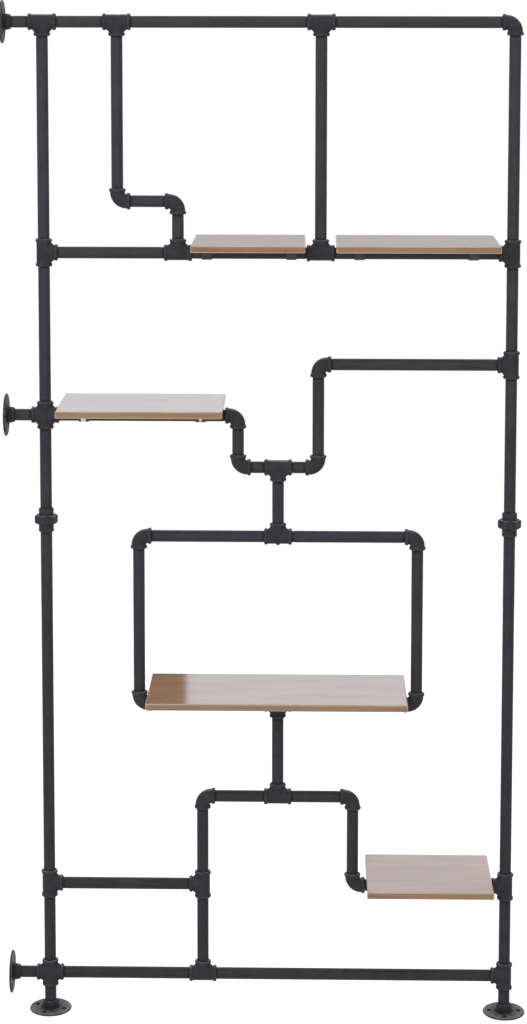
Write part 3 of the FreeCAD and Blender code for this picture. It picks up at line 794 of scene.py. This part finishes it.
def addNub(points, faces, wear, sizes):
    # a small boss left under the run, on the side away from the branch
    radius, height, root = sizes["radius"], sizes["height"], sizes["root"]
    outline = rounded([(radius + 0.8, -root), (radius, 0.6, 0.6), (radius - 0.5, height, 0.9),
                       (0.0, height)])[:-1]
    start, columns = len(points), sizes["columns"]
    under = np.array([1, 1, -1])
    nub = np.vstack(turnedRows(outline, columnAngles(columns)) + [[(0, 0, height)], [(0, 0, -root)]])
    nub = nub * under - np.array([0, 0, fittingSizes["body"]])
    last, top, foot = start + (len(outline) - 1) * columns, start + len(nub) - 2, start + len(nub) - 1
    extra = gridFaces(len(outline), columns, start)
    for column in range(columns):
        after = (column + 1) % columns
        extra += [(last + column, last + after, top), (start + after, start + column, foot)]
    return np.vstack([points, nub]), faces + extra, np.concatenate([wear, np.zeros(len(nub))])


def makeFitting(node, arms, seed, sizes):
    rows, faces = (elbowRows if len(arms) == 2 else branchedRows)(arms, sizes)
    points = np.vstack([row for row, _ in rows])
    radii = np.repeat([radius for _, radius in rows], len(armAngles))
    outer = radii > sizes["mouth"]
    wear = sizes["rubbed"] * np.clip(radii - sizes["crown"], 0, 1)
    if len(arms) > 2:
        points = softenCrotch(points, outer, arms, sizes)
    points = roughCast(points, outer, sizes, seed)
    middle = fittingMiddle(node, arms)
    if node == nubSizes["node"]:
        points, faces, wear = addNub(points, faces, wear, nubSizes)
    settleCasting(node, points + middle, faces, wear)


fittings = [("tee_" + name, sorted({branch, (branch + 90) % 360, (branch - 90) % 360}))
            for branch, names in teeBranches.items() for name in names]
fittings += [("cross_" + name, [0, 90, 180, 270]) for name in crossNames]
fittings += [("elbow_" + name, [(branch - 90) % 360, branch])
             for branch, names in elbowArms.items() for name in names]
for number, (node, arms) in enumerate(fittings):
    makeFitting(node, arms, number + 1, fittingSizes)
print("fittings ready:", len(fittings))


# worn between two radii, past a height
unionSizes = {"columns": 64, "rubbed": 0.15, "crown": (14.15, 15.0, 18.0)}
# radius and height above the joint face; the other half mirrors these but for its shoulder
collarEnd = [(14.0, 17.6, 1.0), (14.3, 19.0, 0.7), (14.6, 20.2, 0.7), (12.2, 23.0, 0.4),
             (11.6, 23.0, 0.25), (10.97, 22.2, 0.3), (10.97, 9.0), (9.0, 9.0), (9.0, 4.5)]
unionHalves = {
    "top": (1, [(9.0, 0.0), (17.0, 0.0), (17.0, 4.0), (14.9, 4.0, 0.5), (13.9, 10.2, 1.2)]),
    "bottom": (-1, [(9.0, 0.0), (17.5, 0.0), (17.5, 6.0, 0.4), (15.2, 7.2, 0.9), (13.9, 10.4, 1.2)]),
}


def makeUnionHalf(side, half, middle, sizes):
    sign, start = unionHalves[half]
    outline = rounded(start + collarEnd)
    rows = turnedRows([(radius, sign * height) for radius, height in outline],
                      columnAngles(sizes["columns"]))
    inner, outer, past = sizes["crown"]
    wear = np.repeat([sizes["rubbed"] * (inner < radius < outer and height > past)
                      for radius, height in outline], sizes["columns"])
    settleCasting(f"union_{side}_{half}_half", np.vstack(rows) + middle,
                  gridFaces(len(rows), sizes["columns"], closeRows=True), wear)


nutSizes = {
    "columns": 144, "flat": 19.25, "corner": 22.25, "low": -6.3, "high": 9.5, "bevel": 1.9,
    "mouth": 17.5, "shoulder": 4.0, "collar": 14.6, "clearance": 0.3, "eased": 0.4,
    "lip": 0.9, "ease": 0.35,          # how far the end faces stop short of the bevels
    "cornerWide": 2.2,                 # degrees that each corner is worn over
    "cornerWorn": 0.22, "rubbed": 0.4, "smooth": 0.25,
    "rows": [0.0, 0.3, 0.7, 1.1, 1.5, 1.9, 2.6],  # rings at these depths from each end
    "turns": {"left": 16.0, "right": 3.0},
}


def makeNut(side, middle, sizes):
    turn = columnAngles(sizes["columns"])
    rest = (turn + math.radians(30)) % math.radians(60) - math.radians(30)
    corner = np.exp(-(rest / math.radians(sizes["cornerWide"])) ** 2)
    hexagon = np.minimum(sizes["flat"] / np.cos(math.radians(30) - np.abs(rest)), sizes["corner"])
    hexagon = hexagon - sizes["cornerWorn"] * corner
    low, high, bevel, down = (sizes[name] for name in ("low", "high", "bevel", "rows"))
    mouth, shoulder, collar, eased = (sizes[name] for name in ("mouth", "shoulder", "collar", "eased"))
    slope = (sizes["corner"] - sizes["flat"] + sizes["clearance"]) / bevel

    def cone(height):
        # radius left by the conical bevels at this height
        return sizes["corner"] - slope * max(0.0, height - (high - bevel), (low + bevel) - height)

    outline = [(mouth + eased, low), (mouth, low + 0.5), (mouth, shoulder), (collar, shoulder),
               (collar, high - eased), (collar + eased, high), (cone(high) - sizes["lip"], high)]
    first = len(outline)
    for height in ([high - step for step in down] + [(low + high) / 2]
                   + [low + step for step in reversed(down)]):
        limit = cone(height) - (sizes["ease"] if height in (high, low) else 0.0)
        outline.append((blend(hexagon, limit, sizes["smooth"])[0], height))
    outline.append((cone(low) - sizes["lip"], low))
    points = np.vstack(turnedRows(outline, turn)) @ spun(sizes["turns"][side]) + middle
    wear = np.zeros((len(outline), len(turn)))
    wear[first:-1] = corner * sizes["rubbed"]
    settleCasting(f"union_{side}_nut", points, gridFaces(len(outline), len(turn), closeRows=True),
                  wear.ravel(), sharp=28.0)


for side in nutSizes["turns"]:
    low, high = boxOf(f"union_{side}_top_half")
    nutTop = boxOf(f"union_{side}_nut")[1][2]
    joint = np.array([(low[0] + high[0]) / 2, 0.0, nutTop - nutSizes["high"]])
    makeUnionHalf(side, "top", joint, unionSizes)
    makeUnionHalf(side, "bottom", joint, unionSizes)
    makeNut(side, joint, nutSizes)
print("unions ready")


flangeSizes = {
    "rim": 4.0, "holeCircle": 28.0, "hole": 3.5, "bandInner": 20.4, "bandOuter": 36.0,
    "samples": 12,                     # points along each side of a quarter
    "sink": 1.1,                       # the mouth of each hole is eased by this much
    # rings round a hole's mouth: how far out and how far down, in shares of that
    "mouth": [(1.15, 0.0), (1.0, 0.05), (0.8, 0.25), (0.1, 0.95), (0.0, 1.15)],
    "grime": (18.0, 34.0, 0.78),       # painted shade: dark at the hub, fading out to this radius, and how dark
    "wallWear": 0.4,
    "edgeWearHighlightShade": (37.6, 39.5, 38.0, 2.5),  # worn between two radii, which also paints a highlight along the rim; painted shade past a radius, under a height
    "hubShade": (11.0, 20.3, 17.0, 8.0),  # painted shade on the hub, between two radii, from a height down over a depth
    "turns": {"floor_flange_left": -20.0, "floor_flange_right": 0.0, "wall_flange_top": 45.0,
              "wall_flange_middle": 45.0, "wall_flange_bottom": 45.0},
}
# radius and height of the hub, from its foot up and back down the socket
hubOutline = [(20.4, 4.0), (17.9, 4.1, 0.9), (15.7, 6.0, 1.4), (14.1, 15.0, 1.2), (13.6, 16.8, 0.6),
              (12.2, 18.0, 0.35), (11.6, 18.0, 0.25), (10.97, 17.2, 0.3), (10.97, 4.0), (9.0, 4.0),
              (9.0, 0.0)]
# the disc's rounded edge
edgeOutline = [(36.0, 4.0), (38.6, 3.9, 0.8), (40.0, 2.3, 0.9), (40.0, 1.3, 0.4), (38.8, 0.0, 0.8),
               (36.0, 0.0)]


def holeBand(sizes):
    # rings that open from a screw hole to its quarter of the band between hub and rim, and back
    inner, outer, sink = sizes["bandInner"], sizes["bandOuter"], sizes["sink"]
    half = math.radians(45)
    corners = np.array([(inner, -half), (inner, half), (outer, half), (outer, -half), (inner, -half)])
    path = [start + (end - start) * i / sizes["samples"]
            for start, end in zip(corners, corners[1:]) for i in range(sizes["samples"])]
    border = np.array([(r * math.cos(a), r * math.sin(a)) for r, a in path])
    centre = np.array([sizes["holeCircle"], 0.0])
    turn = np.arctan2(border[:, 1], border[:, 0] - centre[0])
    ring = centre + sizes["hole"] * np.stack([np.cos(turn), np.sin(turn)], 1)
    away = (ring - centre) / sizes["hole"]
    levels = [(border * (1 - share) + ring * share, sizes["rim"]) for share in (0.0, 0.3, 0.6, 0.8)]
    levels += [(ring + away * out * sink, sizes["rim"] - down * sink) for out, down in sizes["mouth"]]
    levels.append((ring, 0.0))
    return levels + [(border * (1 - share) + ring * share, 0.0) for share in (0.88, 0.0)]


def makeFlange(node, turnDegrees, sizes):
    onWall = node.startswith("wall")
    points, faces, crowns = [], [], []

    def addRows(rows, wear):
        faces.extend(gridFaces(len(rows), len(rows[0]), len(points)))
        for row, value in zip(rows, wear):
            points.extend(row)
            crowns.extend(np.broadcast_to(value, len(row)))

    levels = holeBand(sizes)
    near, far, dark = sizes["grime"]
    # the floor flanges' band gets painted shade round the hub; the wall flanges' band is worn
    wear = [sizes["wallWear"] if onWall else
            -dark * np.clip((far - np.hypot(*flat.T)) / (far - near), 0, 1) for flat, _ in levels]
    wear[6:10] = [-1.0] * 4            # painted shade inside the hole
    for quarter in range(4):
        addRows([np.column_stack([flat, np.full(len(flat), height)]) @ spun(90 * quarter)
                 for flat, height in levels], wear)
    quarters = np.radians([[-45], [45], [135], [225]])
    around = (quarters + math.radians(90) * np.arange(sizes["samples"]) / sizes["samples"]).ravel()
    edge = rounded(edgeOutline, 4)
    wornFrom, wornTo, darkFrom, darkBelow = sizes["edgeWearHighlightShade"]
    # the rim's crest is worn and paler, a painted highlight as well; its lower outer band is painted shade
    addRows(turnedRows(edge, around),
            [-1.0 if z < darkBelow and r > darkFrom else float(wornFrom < r < wornTo) for r, z in edge])
    hub = rounded(hubOutline) + [(sizes["bandInner"], 0.0)]
    # painted shade low on the hub
    darkFrom, darkTo, top, depth = sizes["hubShade"]
    addRows(turnedRows(hub, around),
            [-float(np.clip((top - z) / depth, 0, 1)) if darkFrom < r < darkTo else 0.0 for r, z in hub])
    points = np.array(points) @ spun(turnDegrees)
    low, high = boxOf(node)
    middle = (low + high) / 2
    if onWall:
        points = np.column_stack([points[:, 2], points[:, 1], -points[:, 0]])
        points += np.array([low[0], 0.0, middle[2]])
    else:
        points += np.array([middle[0], 0.0, low[2]])
    settleCasting(node, points, faces, crowns, sharp=35.0)


for node, turnDegrees in flangeSizes["turns"].items():
    makeFlange(node, turnDegrees, flangeSizes)
print("flanges ready")


def newTree(name, inputs):
    tree = bpy.data.node_groups.new(name, "GeometryNodeTree")
    tree.is_modifier = True
    tree.interface.new_socket("Geometry", in_out="INPUT", socket_type="NodeSocketGeometry")
    for label, value in inputs.items():
        kind = ("Int" if isinstance(value, int) else "Float" if isinstance(value, float) else
                "Object" if isinstance(value, bpy.types.Object) else "Material")
        socket = tree.interface.new_socket(label, in_out="INPUT", socket_type="NodeSocket" + kind)
        if kind in ("Int", "Float"):
            socket.default_value = value
    tree.interface.new_socket("Geometry", in_out="OUTPUT", socket_type="NodeSocketGeometry")
    openTree(tree)
    return tree, tree.nodes.new("NodeGroupInput").outputs


def closeTree(geometry, given):
    plain = addNode("GeometryNodeRealizeInstances", {0: geometry})
    dressed = addNode("GeometryNodeSetMaterial", {"Geometry": plain, "Material": given["Material"]})
    addNode("NodeGroupOutput", {0: dressed})


def runTree(name, tree, mesh, values):
    # evaluates the tree on the base mesh and leaves a plain mesh object
    base = addObject(name + "Base", mesh)
    modifier = base.modifiers.new("build", "NODES")
    modifier.node_group = tree
    for item in tree.interface.items_tree:
        if item.in_out == "INPUT" and item.name in values:
            modifier[item.identifier] = values[item.name]
    bpy.context.view_layer.update()
    graph = bpy.context.evaluated_depsgraph_get()
    made = bpy.data.meshes.new_from_object(base.evaluated_get(graph), depsgraph=graph)
    made.name = name
    base.modifiers.remove(modifier)
    bpy.data.objects.remove(base)
    return addObject(name, made)


def vectorMaths(operation, inputs):
    return addNode("ShaderNodeVectorMath", inputs, operation=operation)


def named(label, kind="FLOAT"):
    return addNode("GeometryNodeInputNamedAttribute", {"Name": label}, data_type=kind)


def store(geometry, label, value, kind="FLOAT"):
    return addNode("GeometryNodeStoreNamedAttribute",
                   {"Geometry": geometry, "Name": label, "Value": value}, data_type=kind, domain="POINT")


def moreThan(a, b):
    return addNode("FunctionNodeCompare", {0: a, 1: b}, data_type="FLOAT", operation="GREATER_THAN")


def joinedEdges(start, count):
    return [(start + i, start + i + 1) for i in range(count - 1)]


pipeSizes = {
    "Outer radius": 0.0109,
    "Wall": 0.0026,
    "Columns": 40,
    "Thread pitch": 0.001814,
    "Thread depth": 0.00042,
}
# the thread: hidden in the fitting up to here, full depth to here, gone here, one ring every step
threadSpan = {"hidden": 13.0, "full": 15.6, "end": 18.2, "step": 0.3}
pipeRuns = ["left_post_pipes", "right_post_pipes", "top_rail_pipes", "upper_rail_pipes",
            "upper_drop_pipes", "middle_rail_pipes", "loop_pipes", "bridge_pipes",
            "bottom_rail_pipes"]


def makePipeTree():
    tree, given = newTree("pipeRun", {**pipeSizes, "Material": pipePaint})
    radius, wall = given["Outer radius"], given["Wall"]
    place = addNode("GeometryNodeInputPosition")
    line = addNode("GeometryNodeMeshToCurve", {0: given["Geometry"]})
    axis = store(line, "axis", place, "FLOAT_VECTOR")
    ring = addNode("GeometryNodeCurvePrimitiveCircle", {"Resolution": given["Columns"], "Radius": radius})
    section = store(ring, "around", addNode("GeometryNodeSplineParameter").outputs["Factor"])
    tube = addNode("GeometryNodeCurveToMesh", {"Curve": axis, "Profile Curve": section})
    away = vectorMaths("SUBTRACT", {0: place, 1: named("axis", "FLOAT_VECTOR")})
    outward = vectorMaths("NORMALIZE", {0: away})
    # the open ends get an annulus, and a second tube lines the bore
    shared = addNode("GeometryNodeInputMeshEdgeNeighbors")
    rims = addNode("FunctionNodeCompare", {2: shared, 3: 1}, data_type="INT", operation="EQUAL")
    wide = addNode("GeometryNodeExtrudeMesh", {"Mesh": tube, "Selection": rims, "Offset": outward,
                                               "Offset Scale": times(wall, -1.0)}, mode="EDGES")
    narrow = addNode("GeometryNodeCurvePrimitiveCircle", {"Resolution": given["Columns"],
                                                          "Radius": maths("SUBTRACT", radius, wall)})
    bore = addNode("GeometryNodeCurveToMesh", {"Curve": axis, "Profile Curve": narrow})
    both = addNode("GeometryNodeJoinGeometry")
    plug(both, {0: addNode("GeometryNodeFlipFaces", {0: bore})})
    plug(both, {0: wide})
    weld = addNode("GeometryNodeMergeByDistance", {"Geometry": both, "Distance": 0.00006})
    # the thread shows for a few turns outside each fitting
    phase = maths("ADD", maths("DIVIDE", named("along"), given["Thread pitch"]), named("around"))
    wave = maths("COSINE", times(phase, 2 * math.pi))
    groove = times(timesPlus(wave, 0.5, 0.5), named("thread"))
    sink = times(groove, given["Thread depth"], -1.0)
    outside = moreThan(vectorMaths("LENGTH", {0: away}).outputs["Value"],
                       maths("SUBTRACT", radius, 0.0008))
    cut = addNode("GeometryNodeSetPosition", {"Geometry": weld, "Selection": outside,
                                              "Offset": vectorMaths("SCALE", {0: outward, "Scale": sink})})
    # place along and about each length of pipe, for the streaks in the paint
    turn = times(named("around"), 2 * math.pi)
    local = addNode("ShaderNodeCombineXYZ", {0: named("along"), 1: times(maths("COSINE", turn), radius),
                                             2: times(maths("SINE", turn), radius)})
    shade = store(cut, "pipeSpace", local, "FLOAT_VECTOR")
    closeTree(addNode("GeometryNodeSetShadeSmooth", {"Geometry": shade}), given)
    return tree


def pipeLine(low, high, span):
    # points along one length of pipe, closer together where the thread shows
    long = 0 if high[0] - low[0] > high[2] - low[2] else 2
    length = high[long] - low[long]
    near = [0.0, span["hidden"] - 0.9]
    near += list(np.arange(span["hidden"] - 0.6, span["end"], span["step"])) + [span["end"] + 0.6]
    if length < 2 * span["end"] + 3:
        near = [d for d in near if d < length / 2]
    middle = [length / 2] if length > 60 else []
    distances = np.array(near + middle + [length - d for d in reversed(near)])
    points = np.zeros((len(distances), 3)) + (low + high) / 2 * np.array([1, 0, 1])
    points[:, long] = low[long] + distances
    fromEnd = np.minimum(distances, length - distances)
    return points, distances, np.clip((span["end"] - fromEnd) / (span["end"] - span["full"]), 0, 1)


pipeTree = makePipeTree()
for number, node in enumerate(pipeRuns):
    points, edges, along, fades = [], [], [], []
    for index, (low, high) in enumerate(solidBoxes(node)):
        line, distances, lineFades = pipeLine(low, high, threadSpan)
        edges += joinedEdges(len(points), len(line))
        points += list(line)
        along += list(distances * mm + 3.1 * index + 17.0 * number)   # no two lengths alike
        fades += list(lineFades)
    lines = newMesh("pipeLines", points, edges, along=along, thread=fades)
    piece = runTree(pieceName(node), pipeTree, lines, {**pipeSizes, "Material": pipePaint})
    piece.data.set_sharp_from_angle(angle=math.radians(50))
    settle(piece, pipePaint, node)
    print("pipes", node, len(piece.data.polygons))


boardSizes = {"edge": 2.0, "segments": 5, "rim": 0.3}
boardNodes = ["shelf_board_upper_left", "shelf_board_upper_right", "shelf_board_middle",
              "shelf_board_loop", "shelf_board_lower_right"]


def makeBoard(node, sizes):
    low, high = (np.array(corner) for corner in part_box(node))
    shape = bmesh.new()
    bmesh.ops.create_cube(shape, size=1.0)
    for vertex in shape.verts:
        vertex.co = Vector((low + high) / 2 + np.array(vertex.co) * (high - low))
    bmesh.ops.bevel(shape, geom=shape.edges[:], offset=sizes["edge"] * mm,
                    segments=sizes["segments"], profile=0.5, affect="EDGES")
    # a narrow rim round each flat side keeps its shading flat
    sides = sorted(shape.faces, key=lambda face: face.calc_area())[-6:]
    bmesh.ops.inset_individual(shape, faces=sides, thickness=sizes["rim"] * mm)
    mesh = bpy.data.meshes.new(pieceName(node))
    shape.to_mesh(mesh)
    shape.free()
    finishMesh(mesh, 60.0)
    # 1 on the rounded edges, 0 on the flat sides
    places = np.array([vertex.co for vertex in mesh.vertices])
    flat = np.minimum(np.abs(places - low), np.abs(places - high)).min(1) < weldGap
    addAttribute(mesh, "arris", 1.0 - flat)
    settle(addObject(pieceName(node), mesh), boardWood, node)


for node in boardNodes:
    makeBoard(node, boardSizes)
print("boards ready")


strapSizes = {
    "Width": 0.019,
    "Thickness": 0.002,
    "Edge": 0.0006,
    "Hole radius": 0.0022,
}
strapBend = {"inner": 10.9, "ear": 27.0, "screw": 19.0, "corner": 2.6, "arcPoints": 19}
# the straps under this board have lost their paint in the middle, this far to each side; the bare zinc is
# placed to give glints there, so it is wear and a painted glint
glintedStraps = {"board": "shelf_board_middle", "left": 5.0, "right": 2.8, "elsewhere": 9.0,
                "below": 30}


def makeStrapTree():
    tree, given = newTree("pipeStrap", {**strapSizes, "Material": strapPaint})
    line = addNode("GeometryNodeMeshToCurve", {0: given["Geometry"]})
    level = addNode("GeometryNodeSetCurveNormal", {"Curve": line, "Normal": (1, 0, 0)}, mode="FREE")
    section = addNode("GeometryNodeCurvePrimitiveQuadrilateral", {"Width": given["Width"],
                                                                  "Height": given["Thickness"]})
    soften = addNode("GeometryNodeFilletCurve", {"Curve": section, "Count": 3, "Radius": given["Edge"]},
                     mode="POLY")
    sweep = addNode("GeometryNodeCurveToMesh", {"Curve": level, "Profile Curve": soften,
                                                "Fill Caps": True})
    # screw holes at the marked points of each strap
    drill = addNode("GeometryNodeMeshCylinder", {"Vertices": 24, "Depth": 0.02,
                                                 "Radius": given["Hole radius"]})
    marks = addNode("GeometryNodeInstanceOnPoints", {"Points": given["Geometry"], "Instance": drill,
                                                     "Selection": moreThan(named("hole"), 0.5)})
    holes = addNode("GeometryNodeRealizeInstances", {0: marks})
    closeTree(addNode("GeometryNodeMeshBoolean", {"Mesh 1": sweep, "Mesh 2": holes},
                      operation="DIFFERENCE"), given)
    return tree


def strapLine(low, high, bend):
    # middle line of one strap, from ear to ear under the pipe, with its screws marked
    half = strapSizes["Thickness"] / mm / 2
    radius = bend["inner"] + half
    x, axis, ear = (low[0] + high[0]) / 2, low[2] + bend["inner"] + 2 * half, high[2] - half
    path = rounded([(-bend["ear"], ear), (-bend["screw"], ear), (-radius, ear, bend["corner"]),
                    (-radius, axis)], 4)[:-1]
    arc = [(-radius * math.cos(a), axis - radius * math.sin(a))
           for a in np.linspace(0, math.pi, bend["arcPoints"])]
    line = path + arc + [(-y, z) for y, z in reversed(path)]
    return [(x, y, z) for y, z in line], [float(abs(abs(y) - bend["screw"]) < 0.01) for y, z in line]


def placeStrapGlints(mesh, rubbed):
    # how far each point is from its strap's middle, in shares of the bared half width
    places = np.array([vertex.co for vertex in mesh.vertices]) / mm
    low, high = boxOf(rubbed["board"])
    x = places[:, 0]
    under = (x > low[0]) & (x < high[0]) & (np.abs(places[:, 2] - low[2]) < rubbed["below"])
    across = np.full(len(places), rubbed["elsewhere"])
    centre = (low[0] + high[0]) / 2
    for side, chosen in (("left", under & (x < centre)), ("right", under & (x > centre))):
        middle = (x[chosen].min() + x[chosen].max()) / 2
        across[chosen] = (x[chosen] - middle) / rubbed[side]
    addAttribute(mesh, "across", across)


points, edges, marks = [], [], []
for low, high in solidBoxes("pipe_straps"):
    line, holes = strapLine(low, high, strapBend)
    edges += joinedEdges(len(points), len(line))
    points += line
    marks += holes
straps = runTree("pipeStraps", makeStrapTree(), newMesh("strapLines", points, edges, hole=marks),
                 {**strapSizes, "Material": strapPaint})
finishMesh(straps.data)
placeStrapGlints(straps.data, glintedStraps)
settle(straps, strapPaint, "pipe_straps")
print("straps ready:", len(straps.data.polygons))


screwSizes = {
    "columns": 32, "head": 4.0, "crown": 2.4, "shank": 1.7, "length": 10.5, "tip": 3.0,
    "flat": 2.15, "recessNarrow": 0.75, "recessWide": 2.4, "recessDeep": 1.3,
}
screwTurns = {"Seed": 7}


def makeScrew(sizes):
    # pan head down, point up, with a cross recess
    top, columns, deep = -sizes["crown"], sizes["columns"], sizes["recessDeep"]
    head, shank, length = sizes["head"], sizes["shank"], sizes["length"]
    outline = rounded([(0.9, top), (2.4, top, 0.9), (head, -1.5, 0.7), (head, 0.0, 0.15),
                       (shank, 0.0, 0.2), (shank, length - sizes["tip"], 0.5), (0.05, length)])
    outline[0] = (sizes["flat"], top)
    turn = columnAngles(columns)
    narrow = sizes["recessNarrow"]
    reach = narrow + (sizes["recessWide"] - narrow) * np.abs(np.cos(2 * turn)) ** 6
    pitRows = [(reach * 0.9, top), (reach * 0.72, top + deep * 0.8)]
    ends = [(0, 0, top + deep), (0, 0, length + 0.02)]
    points = np.vstack(turnedRows(outline + pitRows, turn) + [ends])
    last, rim = (len(outline) - 1) * columns, len(outline) * columns
    pit, tip = len(points) - 2, len(points) - 1
    faces = gridFaces(len(outline), columns) + gridFaces(2, columns, rim)
    for column in range(columns):
        after = (column + 1) % columns
        faces += [(rim + columns + column, rim + columns + after, pit),
                  (column, after, rim + after, rim + column), (last + column, last + after, tip)]
    mesh = newMesh("screwShape", points, [], faces)
    finishMesh(mesh)
    return addObject("screwShape", mesh)


def makeScrewTree(shape):
    tree, given = newTree("strapScrew", {**screwTurns, "Screw": shape, "Material": screwSteel})
    screw = addNode("GeometryNodeObjectInfo", {"Object": given["Screw"]}).outputs["Geometry"]
    spin = addNode("FunctionNodeRandomValue", {"Min": (0, 0, 0), "Max": (0, 0, 6.283),
                                               "Seed": given["Seed"]}, data_type="FLOAT_VECTOR")
    closeTree(addNode("GeometryNodeInstanceOnPoints", {"Points": given["Geometry"], "Instance": screw,
                                                       "Rotation": spin}), given)
    return tree


screwShape = makeScrew(screwSizes)
spots = [((low[0] + high[0]) / 2, (low[1] + high[1]) / 2, low[2] + screwSizes["crown"])
         for low, high in solidBoxes("strap_screws")]
screws = runTree("strapScrews", makeScrewTree(screwShape), newMesh("screwSpots", spots),
                 {**screwTurns, "Screw": screwShape, "Material": screwSteel})
bpy.data.objects.remove(screwShape)
finishMesh(screws.data, 35.0)
settle(screws, screwSteel, "strap_screws")
print("screws ready:", len(screws.data.polygons))

triangles = sum(len(polygon.vertices) - 2 for thing in scene.objects if thing.type == "MESH"
                and not thing.hide_render for polygon in thing.data.polygons)
print("triangles shown:", triangles)
